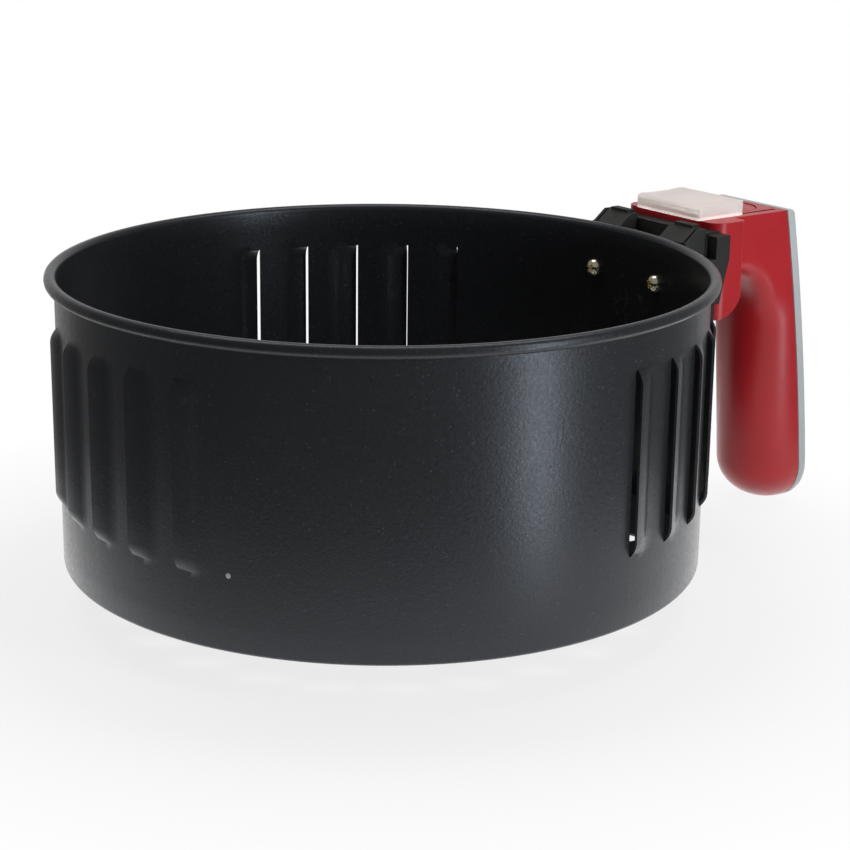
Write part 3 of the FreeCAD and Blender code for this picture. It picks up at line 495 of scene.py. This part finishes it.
def coated_steel(colours, marks):
    """Dark non-stick coating: satin and grainy, with fine bright specks, a bare weld pip and a few scuffs."""
    finish = Finish("nonstick_coating")
    speck = finish.ramp(finish.cells(1.5 * MM), 0.25, 0.12)
    patch = finish.ramp(finish.noise(2.4 * MM, 3.0), 0.48, 0.66)
    grain = finish.ramp(finish.noise(0.55 * MM, 3.0), 0.3, 0.7)
    cloud = finish.ramp(finish.noise(40 * MM, 3.0), 0.3, 0.7)
    coarse = finish.mix(cloud, darker(colours.coating, 0.8), darker(colours.coating, 1.1))
    ground = finish.mix(grain, coarse, darker(colours.coating, 1.35))
    flecked = finish.mix(finish.times(speck, patch), ground, tuple(colours.fleck))
    line = finish.ramp(finish.cells(4.5 * MM, feature="DISTANCE_TO_EDGE"), 0.03, 0.01)
    broken = finish.ramp(finish.noise(3.5 * MM, 2.0), 0.5, 0.62)
    scuff = finish.times(finish.times(line, broken), finish.spot(marks.scuff_place, marks.scuff_reach, 0.6))
    scuffed = finish.mix(scuff, flecked, (0.09, 0.09, 0.085))
    pip = finish.spot(marks.pip_place, marks.pip_radius, 0.8)
    finish.link(finish.mix(pip, scuffed, (0.62, 0.61, 0.57)), finish.shader.inputs["Base Color"])
    roughness = finish.ramp(finish.noise(1.2 * MM, 4.0), 0.3, 0.7, 0.27, 0.37)
    finish.link(roughness, finish.shader.inputs["Roughness"])
    finish.bump(finish.noise(1.0 * MM, 3.0), 0.06 * MM, 1.0)
    finish.set(specular_ior_level=0.36)
    finish.shader.inputs["Specular Tint"].default_value = (*colours.sheen, 1)
    return finish.material


def moulded(name, colour, roughness, grain, depth, specular=0.5):
    """Moulded plastic with the fine grain of its tool."""
    finish = Finish(name)
    cloud = finish.ramp(finish.noise(25 * MM, 2.0), 0.3, 0.7)
    shade = finish.mix(cloud, darker(colour, 0.94), darker(colour, 1.05))
    finish.link(shade, finish.shader.inputs["Base Color"])
    finish.link(finish.ramp(finish.noise(3 * MM, 3.0), 0.3, 0.7, roughness - 0.04, roughness + 0.04),
                finish.shader.inputs["Roughness"])
    finish.bump(finish.noise(grain, 2.0), depth, 0.5)
    finish.set(specular_ior_level=specular)
    return finish.material


def plated(name, colour, roughness):
    """Bright plated metal with fine drawn marks."""
    finish = Finish(name)
    cloud = finish.ramp(finish.noise(1.2 * MM, 3.0), 0.3, 0.7)
    finish.link(finish.mix(cloud, darker(colour, 0.85), colour), finish.shader.inputs["Base Color"])
    finish.link(finish.ramp(finish.noise(0.5 * MM, 2.0), 0.3, 0.7, roughness, roughness + 0.1),
                finish.shader.inputs["Roughness"])
    finish.bump(finish.noise(0.25 * MM, 2.0), 0.004 * MM, 0.4)
    finish.set(metallic=1.0)
    return finish.material


def frosted(colours):
    """Frosted plastic that lets light through and blurs what is behind it, with a faint painted glow all over
    and a brighter painted glow and painted highlight along its lower edge.
    """
    finish = Finish("frosted_plastic")
    cloud = finish.ramp(finish.noise(6 * MM, 3.0), 0.3, 0.7)
    body = finish.mix(cloud, darker(colours.frost, 0.96), tuple(colours.frost))
    parts = finish.add("ShaderNodeSeparateXYZ")
    finish.link(finish.place, parts.inputs[0])
    # Painted highlight: the guard's lowest band is painted near white, standing in for light caught along its
    # lower edge
    edge = finish.ramp(parts.outputs["Z"], SHELL_HIGH[2] + GUARD_GLOW_BAND, SHELL_HIGH[2] + GUARD_GLOW_BAND / 2)
    finish.link(finish.mix(edge, body, (1.0, 0.97, 0.95)), finish.shader.inputs["Base Color"])
    # Painted glow: the whole guard emits a little pale pink light and its lower band more, though it is no
    # lamp
    finish.link(finish.ramp(edge, 0, 1, 0.04, 0.2), finish.shader.inputs["Emission Strength"])
    finish.shader.inputs["Emission Color"].default_value = (1.0, 0.90, 0.86, 1)
    finish.bump(finish.noise(0.3 * MM, 2.0), 0.01 * MM, 0.5)
    finish.set(roughness=0.3, transmission_weight=0.5, ior=1.45, subsurface_weight=0.5)
    finish.shader.inputs["Subsurface Radius"].default_value = (3 * MM, 3 * MM, 3 * MM)
    finish.shader.inputs["Subsurface Scale"].default_value = 1.0
    path = finish.add("ShaderNodeLightPath")
    share = finish.ramp(path.outputs["Is Shadow Ray"], 0, 1, 0, 0.6)
    clear = finish.add("ShaderNodeBsdfTransparent")
    blend = finish.add("ShaderNodeMixShader")
    finish.link(share, blend.inputs["Fac"])
    finish.link(finish.shader.outputs[0], blend.inputs[1])
    finish.link(clear.outputs[0], blend.inputs[2])
    finish.link(blend.outputs[0], finish.tree.nodes["Material Output"].inputs["Surface"])
    return finish.material


FINISHES = {}


def make_finishes(colours, marks):
    FINISHES.update({
        "nonstick_steel": coated_steel(colours, marks),
        "black_plastic": moulded("black_nylon", tuple(colours.black), 0.55, 0.5 * MM, 0.015 * MM, 0.2),
        "red_plastic": moulded("red_shell", tuple(colours.red), 0.35, 0.6 * MM, 0.006 * MM, 0.35),
        "silver_trim": moulded("silver_trim", tuple(colours.silver), 0.45, 0.5 * MM, 0.006 * MM, 0.3),
        "frosted_plastic": frosted(colours),
        "plated_screw": plated("nickel_plate", tuple(colours.nickel), 0.12),
        "zinc_steel": plated("zinc_plate", tuple(colours.zinc), 0.3),
        "spring_steel": plated("spring_wire", darker(colours.zinc, 0.9), 0.25),
    })


# Operators

class BASKET_OT_finishes(bpy.types.Operator):
    """Makes every finish and gives each solid the finish of its slot"""
    bl_idname = "basket.finishes"
    bl_label = "Finishes"

    def execute(self, context):
        make_finishes(context.scene.basket_colours, context.scene.basket_marks)
        for part in frame["record"]["subparts"]:
            solid = frame["nodes"][part["node"]]
            solid.data.materials.clear()
            solid.data.materials.append(FINISHES[part["material_slot"]])
        return {"FINISHED"}


def wall_path(sizes):
    """The middle of the sheet from the base lip to the end of the curl, as points and their heights."""
    middle = sizes.sheet / 2
    wall_radius = RIM_RADIUS - 2 * sizes.curl_radius + middle
    bead_radius = RIM_RADIUS - sizes.curl_radius
    bead_height = WALL_HIGH[2] - sizes.curl_radius
    bend = sizes.base_bend - middle
    points = [(wall_radius + middle - sizes.base_lip - sizes.sheet, middle),
              (wall_radius - bend - sizes.sheet, middle)]
    for step in range(BEND_STEPS + 1):
        angle = -math.pi / 2 + step * math.pi / 2 / BEND_STEPS
        points.append((wall_radius - bend + bend * math.cos(angle), middle + bend + bend * math.sin(angle)))
    hood_low, hood_high = sizes.slit_low, sizes.slit_high
    end = sizes.hood_end
    heights = [0.4 * hood_low, hood_low - HOOD_MARGIN]
    into_end = [end * (1 - math.cos(math.pi / 2 * step / END_STEPS)) for step in range(END_STEPS + 1)]
    straight = hood_high - hood_low - 2 * end
    heights += [hood_low + rise for rise in into_end]
    heights += [hood_low + end + straight * i / STRAIGHT_STEPS for i in range(1, STRAIGHT_STEPS)]
    heights += [hood_high - rise for rise in reversed(into_end)]
    heights += [hood_high + HOOD_MARGIN, (hood_high + bead_height) / 2]
    points += [(wall_radius, height) for height in heights]
    curl = sizes.curl_radius - middle
    for step in range(CURL_STEPS + 1):
        angle = math.pi - sizes.curl_sweep * step / CURL_STEPS
        points.append((bead_radius + curl * math.cos(angle), bead_height + curl * math.sin(angle)))
    return points


def louvre_turns(sizes):
    """The angle of every slit, group by group."""
    middle = (sizes.louvres - 1) / 2
    first = math.pi / sizes.groups + sizes.louvre_turn
    return [first + group * 2 * math.pi / sizes.groups + (number - middle) * sizes.louvre_pitch
            for group in range(sizes.groups) for number in range(sizes.louvres)]


def wall_columns(sizes):
    """Angles of the wall's columns, each with its share of a hood's width, or None away from the hoods."""
    radius = RIM_RADIUS - 2 * sizes.curl_radius + sizes.sheet
    width = sizes.hood_width / radius
    columns = []
    for turn in louvre_turns(sizes):
        columns.append((turn - sizes.slit_gap / radius, None))
        columns += [(turn + width * i / HOOD_STEPS, i / HOOD_STEPS) for i in range(HOOD_STEPS + 1)]
    columns.sort()
    filled = []
    for index, (angle, share) in enumerate(columns):
        filled.append((angle, share))
        following = columns[(index + 1) % len(columns)][0]
        if following <= angle:
            following += 2 * math.pi
        count = math.ceil((following - angle) / WALL_STEP)
        filled += [(angle + (following - angle) * i / count, None) for i in range(1, count)]
    return filled


def hood_lift(sizes, share, height):
    """How far the sheet is pressed out at a share of the hood's width and at a height."""
    if share is None or not sizes.slit_low <= height <= sizes.slit_high:
        return 0.0
    inside = min(height - sizes.slit_low, sizes.slit_high - height)
    along = min(1.0, inside / sizes.hood_end)
    end = math.sin(math.pi / 2 * along) ** HOOD_FULLNESS
    across = (1 - share) + HOOD_BELLY * math.sin(math.pi * share)
    return (sizes.hood_rise - sizes.sheet / 2) * end * across


class BASKET_OT_wall(bpy.types.Operator):
    """Rolls the louvred wall from one sheet, with its slits, hoods, curled rim and base lip"""
    bl_idname = "basket.wall"
    bl_label = "Louvred wall"

    def execute(self, context):
        sizes = context.scene.basket_sizes
        path = wall_path(sizes)
        columns = wall_columns(sizes)
        clear_selection()
        bpy.ops.mesh.primitive_grid_add(x_subdivisions=len(columns), y_subdivisions=len(path) - 1, size=2)
        wall = named("louvred_wall")
        rows, lines = len(path), len(columns) + 1
        for vertex in wall.data.vertices:
            column = round((vertex.co.x + 1) / 2 * (lines - 1))
            row = round((vertex.co.y + 1) / 2 * (rows - 1))
            angle, share = columns[column % len(columns)]
            radius, height = path[row]
            radius += hood_lift(sizes, share, height) if BEND_STEPS < row < rows - CURL_STEPS else 0
            vertex.co = (radius * math.cos(angle), radius * math.sin(angle), height)

        radius = RIM_RADIUS - 2 * sizes.curl_radius
        bpy.ops.object.mode_set(mode="EDIT")
        bpy.ops.mesh.select_all(action="DESELECT")
        bpy.ops.object.mode_set(mode="OBJECT")
        turns = [turn - sizes.slit_gap / (2 * radius) for turn in louvre_turns(sizes)]
        for face in wall.data.polygons:
            centre = face.center
            if not sizes.slit_low < centre.z < sizes.slit_high:
                continue
            angle = math.atan2(centre.y, centre.x) % (2 * math.pi)
            near = min(abs((angle - turn + math.pi) % (2 * math.pi) - math.pi) for turn in turns)
            face.select = near < sizes.slit_gap / (2 * radius)
        bpy.ops.object.mode_set(mode="EDIT")
        bpy.ops.mesh.delete(type="FACE")
        bpy.ops.mesh.select_all(action="SELECT")
        bpy.ops.mesh.remove_doubles(threshold=SEAM_GAP)
        bpy.ops.mesh.normals_make_consistent(inside=False)
        bpy.ops.object.mode_set(mode="OBJECT")
        apply_modifier(wall, "SOLIDIFY", thickness=sizes.sheet, offset=0, use_even_offset=True)
        smooth(wall, 40)
        finish_piece(wall, FINISHES["nonstick_steel"], "basket", "nonstick_steel", "basket_wall")
        return {"FINISHED"}


def parting_at(sizes, height):
    """Distance of the shallow parting arc from the axis at a height."""
    top, low = SHELL_HIGH[2], SHELL_LOW[2]
    lean = SHELL_HIGH[0] - sizes.parting_top
    chord = math.hypot(top - low, lean)
    radius = chord ** 2 / (8 * sizes.parting_bow) + sizes.parting_bow / 2
    depth = radius - sizes.parting_bow
    centre_x = (sizes.parting_top + SHELL_HIGH[0]) / 2 - depth * (top - low) / chord
    centre_z = (top + low) / 2 - depth * lean / chord
    return centre_x + math.sqrt(radius ** 2 - (height - centre_z) ** 2)


def half_width_at(sizes, height):
    """Half the width of the handle seen from outside: straight sides into a half round."""
    end_height = SHELL_LOW[2] + sizes.end_radius
    rise = SHELL_HIGH[2] - end_height
    span = math.hypot(sizes.half_width, rise)
    tangent = math.atan2(rise, sizes.half_width) - math.acos(sizes.end_radius / span)
    start = end_height + sizes.end_radius * math.sin(tangent)
    if height < start:
        return math.sqrt(max(0.0, sizes.end_radius ** 2 - (height - end_height) ** 2))
    side = sizes.end_radius * math.cos(tangent)
    return side + (sizes.half_width - side) * (height - start) / (SHELL_HIGH[2] - start)


def section_point(sizes, height, turn, inset):
    """A point of the grip's section, from one edge of the parting at -90 degrees round to the other at 90."""
    share = max(0.0, (sizes.bend_foot - height) / (sizes.bend_foot - SHELL_LOW[2]))
    inner = sizes.inner_top + (sizes.inner_low - sizes.inner_top) * share
    climb = max(0.0, height - sizes.bend_foot) / sizes.bend_radius
    level = math.sqrt(1 - climb ** 2)
    inner -= sizes.bend_radius * (1 - level)
    parting = parting_at(sizes, height)
    above_end = (height - SHELL_LOW[2]) / sizes.end_rounding
    closing = math.sqrt(max(0.0, 1 - (1 - min(1.0, above_end)) ** 2))
    depth = max(LEAST_HALF, (parting - inner) * closing - inset)
    width = max(LEAST_HALF, half_width_at(sizes, height) - inset)
    square = max(abs(math.cos(turn)), abs(math.sin(turn)))
    edge_x, edge_y = min(sizes.edge_radius / level, depth), min(sizes.edge_radius, width)
    square_x, square_y = depth * math.cos(turn) / square, width * abs(math.sin(turn)) / square
    over_x, over_y = (square_x - depth) / edge_x + 1, (square_y - width) / edge_y + 1
    if over_x > 0 and over_y > 0:
        reach = math.hypot(over_x, over_y)
        square_x = depth + edge_x * (over_x / reach - 1)
        square_y = width + edge_y * (over_y / reach - 1)
    blend = min(1.0, max(0.0, (sizes.joint - height) / sizes.blend_length))
    blend = blend * blend * (3 - 2 * blend)
    x = square_x + (depth * math.cos(turn) - square_x) * blend
    y = square_y + (width * abs(math.sin(turn)) - square_y) * blend
    return Vector((parting - x, math.copysign(y, turn), height))


def grip_block(sizes, name, inset, over_top, over_back):
    """The grip below the joint as a closed block, smaller all round by the inset."""
    low = SHELL_LOW[2] + inset + END_GAP
    length = sizes.joint - low
    heights = [sizes.joint + over_top]
    heights += [low + length * (1 - math.sin(math.pi / 2 * row / GRIP_ROWS)) for row in range(GRIP_ROWS + 1)]
    clear_selection()
    bpy.ops.mesh.primitive_grid_add(x_subdivisions=GRIP_COLUMNS + 3, y_subdivisions=len(heights) - 1, size=2)
    block = named(name)
    for vertex in block.data.vertices:
        column = round((1 + vertex.co.x) / 2 * (GRIP_COLUMNS + 3))
        row = round((1 - vertex.co.y) / 2 * (len(heights) - 1))
        share = min(1, max(0, column - 1) / GRIP_COLUMNS) if column < GRIP_COLUMNS + 3 else 0
        point = section_point(sizes, heights[row], (share - 0.5) * math.pi, inset)
        if column in (0, GRIP_COLUMNS + 2, GRIP_COLUMNS + 3):
            point.x += over_back
        vertex.co = point
    bpy.ops.object.mode_set(mode="EDIT")
    bpy.ops.mesh.select_all(action="SELECT")
    bpy.ops.mesh.remove_doubles(threshold=MERGE_GAP)
    bpy.ops.mesh.fill_holes(sides=0)
    bpy.ops.mesh.select_all(action="SELECT")
    bpy.ops.mesh.normals_make_consistent(inside=False)
    bpy.ops.object.mode_set(mode="OBJECT")
    return block


def cut_and_join(piece, *steps):
    """Runs boolean steps on a piece, each with its own tool, and clears the tools away."""
    for kind, tool in steps:
        apply_modifier(piece, "BOOLEAN", operation=kind, solver="EXACT", object=tool)
        bpy.data.objects.remove(tool, do_unlink=True)


class BASKET_OT_handle(bpy.types.Operator):
    """Models the red shell: its moulded arm and collar, and the rounded grip below them"""
    bl_idname = "basket.handle"
    bl_label = "Handle shell"

    def execute(self, context):
        sizes = context.scene.basket_grip
        reach = SHELL_HIGH[0]
        skin = grip_block(sizes, "grip_skin", 0, JOINT_LAP, 0)
        hollow = grip_block(sizes, "grip_hollow", sizes.wall, 2 * JOINT_LAP, sizes.wall)
        cut_and_join(skin, ("DIFFERENCE", hollow))
        shell = merged_copy("handle_shell", "red_shell")
        clear_selection()
        bpy.ops.mesh.primitive_cube_add(
            size=1, location=(sizes.below_start + reach / 2, 0, sizes.joint - reach / 2),
            scale=(reach, reach, reach))
        cut_and_join(shell, ("DIFFERENCE", named("below_joint")), ("UNION", skin))
        smooth(shell, 30)
        finish_piece(shell, FINISHES["red_plastic"], "basket", "red_plastic", "handle_shell")
        return {"FINISHED"}


def soften(piece, width):
    """Rounds a piece's sharp edges a little."""
    apply_modifier(piece, "BEVEL", width=width, segments=2, limit_method="ANGLE",
                   angle_limit=math.radians(40), use_clamp_overlap=True)
    smooth(piece, 40)


def prism(name, outline, low_y, high_y):
    """A side view in millimetres, as distances from the axis and heights, drawn out from low_y to high_y."""
    clear_selection()
    bpy.ops.mesh.primitive_circle_add(vertices=len(outline), radius=1, fill_type="NGON")
    piece = named(name)
    for vertex, (x, z) in zip(piece.data.vertices, outline):
        vertex.co = (x * MM, low_y * MM, z * MM)
    bpy.ops.object.mode_set(mode="EDIT")
    bpy.ops.mesh.select_all(action="SELECT")
    bpy.ops.mesh.extrude_region_move(TRANSFORM_OT_translate={"value": (0, (high_y - low_y) * MM, 0)})
    bpy.ops.mesh.select_all(action="SELECT")
    bpy.ops.mesh.normals_make_consistent(inside=False)
    bpy.ops.object.mode_set(mode="OBJECT")
    return piece


class BASKET_OT_bracket(bpy.types.Operator):
    """Rounds the bracket's edges, cuts back its end blocks' fronts and fills out the blocks behind them"""
    bl_idname = "basket.bracket"
    bl_label = "Bracket"

    def execute(self, context):
        piece = merged_copy("bracket", "black_bracket")
        for side in (1, -1):
            front = prism("front", FRONT_CUT, *sorted(side * edge for edge in FRONT_SPAN))
            end = prism("end", END_FILL, *sorted(side * edge for edge in END_SPAN))
            cut_and_join(piece, ("DIFFERENCE", front), ("UNION", end))
        soften(piece, BRACKET_EDGE)
        finish_piece(piece, FINISHES["black_plastic"], "basket", "black_plastic", "bracket")
        return {"FINISHED"}


class BASKET_OT_trim(bpy.types.Operator):
    """Brings the trim's outer face out to a tighter edge"""
    bl_idname = "basket.trim"
    bl_label = "Trim"

    def execute(self, context):
        sizes = context.scene.basket_grip
        piece = merged_copy("trim_cover", "silver_cover")
        end_height = SHELL_LOW[2] + sizes.end_radius
        for vertex in piece.data.vertices:
            spot = vertex.co
            if spot.x - parting_at(sizes, spot.z) < sizes.trim_depth:
                continue
            spot.y *= sizes.trim_spread
            if spot.z < end_height:
                spot.z = end_height + (spot.z - end_height) * sizes.trim_spread
        soften(piece, TRIM_EDGE)
        finish_piece(piece, FINISHES["silver_trim"], "basket", "silver_trim", "trim_cover")
        return {"FINISHED"}


class BASKET_OT_controls(bpy.types.Operator):
    """Rounds the edges of the release button and its guard, and gives the spring a smoothed mesh of its own"""
    bl_idname = "basket.controls"
    bl_label = "Button, guard and spring"

    def execute(self, context):
        for node, name, body, slot, width in (
                ("release_button", "red_button", "button", "red_plastic", BUTTON_EDGE),
                ("button_guard", "clear_guard", "guard", "frosted_plastic", GUARD_EDGE)):
            piece = merged_copy(node, name)
            soften(piece, width)
            finish_piece(piece, FINISHES[slot], body, slot, node)
        spring = merged_copy("return_spring", "button_spring")
        smooth(spring, 70)
        finish_piece(spring, FINISHES["spring_steel"], "basket", "spring_steel", "return_spring")
        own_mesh(spring)
        return {"FINISHED"}


def pan_screw(sizes):
    """A pan screw along +X with its seat at the origin and a cross recess in its head."""
    clear_selection()
    bpy.ops.mesh.primitive_uv_sphere_add(segments=48, ring_count=24, radius=1, rotation=(0, math.pi / 2, 0))
    screw = named("wall_screw")
    screw.scale = (sizes.head_radius, sizes.head_radius, sizes.head_height)
    settle(screw)
    reach = 4 * sizes.head_radius
    clear_selection()
    bpy.ops.mesh.primitive_cube_add(size=reach, location=(reach / 2, 0, 0))
    steps = [("DIFFERENCE", named("seat"))]
    clear_selection()
    bpy.ops.mesh.primitive_cylinder_add(
        vertices=32, radius=sizes.shank_radius, depth=sizes.length + MM,
        location=((sizes.length - MM) / 2, 0, 0), rotation=(0, math.pi / 2, 0))
    steps.append(("UNION", named("shank")))
    for turn in RECESS_TURNS:
        clear_selection()
        bpy.ops.mesh.primitive_cube_add(
            size=1, location=(-sizes.head_height, 0, 0), rotation=(math.radians(turn), 0, 0),
            scale=(2 * sizes.recess_depth, sizes.recess_width, sizes.recess_length))
        steps.append(("DIFFERENCE", named("arm")))
    cut_and_join(screw, *steps)
    return screw


class BASKET_OT_screws(bpy.types.Operator):
    """Models one wall screw with its cross recess and sets a copy in each of its two places"""
    bl_idname = "basket.screws"
    bl_label = "Wall screws"

    def execute(self, context):
        sizes = context.scene.basket_screws
        wall_inside = RIM_RADIUS - 2 * context.scene.basket_sizes.curl_radius
        seat = math.sqrt(wall_inside ** 2 - sizes.head_radius ** 2)
        height = (SCREW_LOW[2] + SCREW_HIGH[2]) / 2
        first = pan_screw(sizes)
        activate(first)
        bpy.ops.object.duplicate()
        second = named("wall_screw_right")
        for piece, node, turn in ((first, "bracket_screw_left", sizes.turn),
                                  (second, "bracket_screw_right", -sizes.turn)):
            piece.location = (seat * math.cos(turn), seat * math.sin(turn), height)
            piece.rotation_euler = (0, 0, turn)
            settle(piece)
            smooth(piece, 30)
            finish_piece(piece, FINISHES["plated_screw"], "basket", "plated_screw", node)
        return {"FINISHED"}


def white_floor(settings):
    """Pale board that keeps the object's shadow near its middle and is plain white towards its edge."""
    finish = Finish("floor")
    finish.set(base_color=(0.8, 0.8, 0.8, 1), roughness=0.9, specular_ior_level=0.2)
    glow = finish.add("ShaderNodeEmission")
    glow.inputs["Color"].default_value = (1, 1, 1, 1)
    path = finish.add("ShaderNodeLightPath")
    gloss = finish.add("ShaderNodeMath", operation="MULTIPLY_ADD")
    finish.link(path.outputs["Is Glossy Ray"], gloss.inputs[0])
    near = finish.spot(settings.gloss_place, settings.board, 0.8)
    finish.link(finish.ramp(near, 0, 1, 0, settings.board_gloss), gloss.inputs[1])
    gloss.inputs[2].default_value = 1.0
    finish.link(gloss.outputs[0], glow.inputs["Strength"])
    away = finish.add("ShaderNodeVectorMath", operation="LENGTH")
    finish.link(finish.place, away.inputs[0])
    plain = finish.ramp(away.outputs["Value"], 0.55 * settings.board, 0.95 * settings.board,
                        FLOOR_SHADE, 1.0)
    seen = finish.add("ShaderNodeMath", operation="MULTIPLY")
    finish.link(path.outputs["Is Camera Ray"], seen.inputs[0])
    finish.link(plain, seen.inputs[1])
    either = finish.add("ShaderNodeMath", operation="MAXIMUM")
    finish.link(path.outputs["Is Glossy Ray"], either.inputs[0])
    finish.link(path.outputs["Is Transmission Ray"], either.inputs[1])
    share = finish.add("ShaderNodeMath", operation="MAXIMUM")
    finish.link(seen.outputs[0], share.inputs[0])
    finish.link(either.outputs[0], share.inputs[1])
    blend = finish.add("ShaderNodeMixShader")
    finish.link(share.outputs[0], blend.inputs["Fac"])
    finish.link(finish.shader.outputs[0], blend.inputs[1])
    finish.link(glow.outputs[0], blend.inputs[2])
    finish.link(blend.outputs[0], finish.tree.nodes["Material Output"].inputs["Surface"])
    return finish.material


def studio_world(settings):
    """White to the camera and through glass; in gloss, white behind the object and dim in front of it."""
    world = bpy.data.worlds.new("studio")
    world.use_nodes = True
    tree = world.node_tree

    def add(kind, **values):
        node = tree.nodes.new(kind)
        for key, value in values.items():
            setattr(node, key, value)
        return node

    soft = tree.nodes["Background"]
    soft.inputs["Color"].default_value = (1, 1, 1, 1)
    soft.inputs["Strength"].default_value = settings.soft_light
    white = add("ShaderNodeBackground")
    white.inputs["Color"].default_value = (1, 1, 1, 1)
    room = add("ShaderNodeBackground")
    room.inputs["Color"].default_value = (1, 1, 1, 1)
    place = add("ShaderNodeTexCoord")
    facing = add("ShaderNodeVectorMath", operation="DOT_PRODUCT")
    facing.inputs[1].default_value = (-math.sin(settings.camera_turn), math.cos(settings.camera_turn), 0)
    tree.links.new(place.outputs["Generated"], facing.inputs[0])
    behind = add("ShaderNodeMapRange")
    behind.inputs["From Min"].default_value = settings.backdrop_start
    behind.inputs["From Max"].default_value = settings.backdrop_full
    behind.inputs["To Min"].default_value = settings.room_light
    behind.inputs["To Max"].default_value = settings.backdrop_gloss
    tree.links.new(facing.outputs["Value"], behind.inputs["Value"])
    tree.links.new(behind.outputs["Result"], room.inputs["Strength"])
    path = add("ShaderNodeLightPath")
    glossy = add("ShaderNodeMixShader")
    tree.links.new(path.outputs["Is Glossy Ray"], glossy.inputs["Fac"])
    tree.links.new(soft.outputs[0], glossy.inputs[1])
    tree.links.new(room.outputs[0], glossy.inputs[2])
    plain = add("ShaderNodeMath", operation="MAXIMUM")
    tree.links.new(path.outputs["Is Camera Ray"], plain.inputs[0])
    tree.links.new(path.outputs["Is Transmission Ray"], plain.inputs[1])
    blend = add("ShaderNodeMixShader")
    tree.links.new(plain.outputs[0], blend.inputs["Fac"])
    tree.links.new(glossy.outputs[0], blend.inputs[1])
    tree.links.new(white.outputs[0], blend.inputs[2])
    tree.links.new(blend.outputs[0], tree.nodes["World Output"].inputs["Surface"])
    return world


def softbox(name, settings, turn, climb, distance, width, height, power, colour):
    """A lamp seen turn degrees right of the camera and climb degrees up, aimed at the basket's middle."""
    azimuth = settings.camera_turn - math.pi / 2 + math.radians(turn)
    rise = math.radians(climb)
    way = Vector((math.cos(azimuth) * math.cos(rise), math.sin(azimuth) * math.cos(rise), math.sin(rise)))
    middle = Vector((0, 0, (WALL_LOW[2] + WALL_HIGH[2]) / 2))
    clear_selection()
    bpy.ops.object.light_add(type="AREA", location=middle + way * distance)
    lamp = bpy.context.object
    lamp.name = name
    lamp.rotation_euler = way.to_track_quat("Z", "Y").to_euler()
    lamp.data.shape = "RECTANGLE"
    lamp.data.size = width
    lamp.data.size_y = height
    lamp.data.energy = power
    lamp.data.color = colour


class BASKET_OT_stage(bpy.types.Operator):
    """Makes the camera, lamps, floor and world"""
    bl_idname = "basket.stage"
    bl_label = "Stage"

    def execute(self, context):
        settings = context.scene.basket_stage
        clear_selection()
        level = Euler((math.pi / 2 - settings.camera_pitch, 0, settings.camera_turn)).to_matrix()
        view = level @ Matrix.Rotation(settings.camera_roll, 3, "Z")
        bpy.ops.object.camera_add(location=settings.camera_place, rotation=view.to_euler())
        camera = context.object
        camera.data.lens = settings.lens
        camera.data.shift_x, camera.data.shift_y = settings.shift
        context.scene.camera = camera

        clear_selection()
        bpy.ops.mesh.primitive_circle_add(vertices=96, radius=settings.board, fill_type="NGON",
                                          location=(0, 0, MODEL_BOX[0][2]))
        floor = named("floor")
        settle(floor)
        floor.data.materials.append(white_floor(settings))

        softbox("side_strip", settings, turn=settings.strip_turn, climb=0, distance=0.9,
                width=0.16, height=1.3, power=settings.strip_power, colour=(0.88, 0.94, 1.0))
        softbox("overhead", settings, turn=175, climb=78, distance=1.2,
                width=1.5, height=0.5, power=settings.overhead_power, colour=(1.0, 1.0, 1.0))
        context.scene.world = studio_world(settings)
        context.scene.view_settings.view_transform = "Standard"
        return {"FINISHED"}


class BASKET_PT_panel(bpy.types.Panel):
    """The basket's settings and pieces"""
    bl_label = "Air Fryer Basket"
    bl_idname = "BASKET_PT_panel"
    bl_space_type = "VIEW_3D"
    bl_region_type = "UI"
    bl_category = "Basket"

    def draw(self, context):
        for group in (getattr(context.scene, name) for name, kind in GROUPS):
            for key in group.bl_rna.properties.keys():
                if key not in ("rna_type", "name"):
                    self.layout.prop(group, key)
        for operator in OPERATORS:
            self.layout.operator(operator.bl_idname)


OPERATORS = (BASKET_OT_finishes, BASKET_OT_wall, BASKET_OT_handle, BASKET_OT_bracket, BASKET_OT_trim,
             BASKET_OT_controls, BASKET_OT_screws, BASKET_OT_stage)
GROUPS = (("basket_sizes", BasketSizes), ("basket_grip", GripSizes), ("basket_screws", ScrewSizes),
          ("basket_marks", Marks), ("basket_colours", BasketColours), ("basket_stage", StageSettings))


def register():
    for name, group in GROUPS:
        bpy.utils.register_class(group)
        setattr(bpy.types.Scene, name, bpy.props.PointerProperty(type=group))
    for item in (*OPERATORS, BASKET_PT_panel):
        bpy.utils.register_class(item)


def unregister():
    for item in (BASKET_PT_panel, *reversed(OPERATORS)):
        bpy.utils.unregister_class(item)
    for name, group in reversed(GROUPS):
        delattr(bpy.types.Scene, name)
        bpy.utils.unregister_class(group)


def main():
    register()
    bpy.ops.basket.finishes()
    bpy.ops.basket.wall()
    bpy.ops.basket.handle()
    bpy.ops.basket.bracket()
    bpy.ops.basket.trim()
    bpy.ops.basket.controls()
    bpy.ops.basket.screws()
    bpy.ops.basket.stage()


if __name__ == "__main__":
    main()
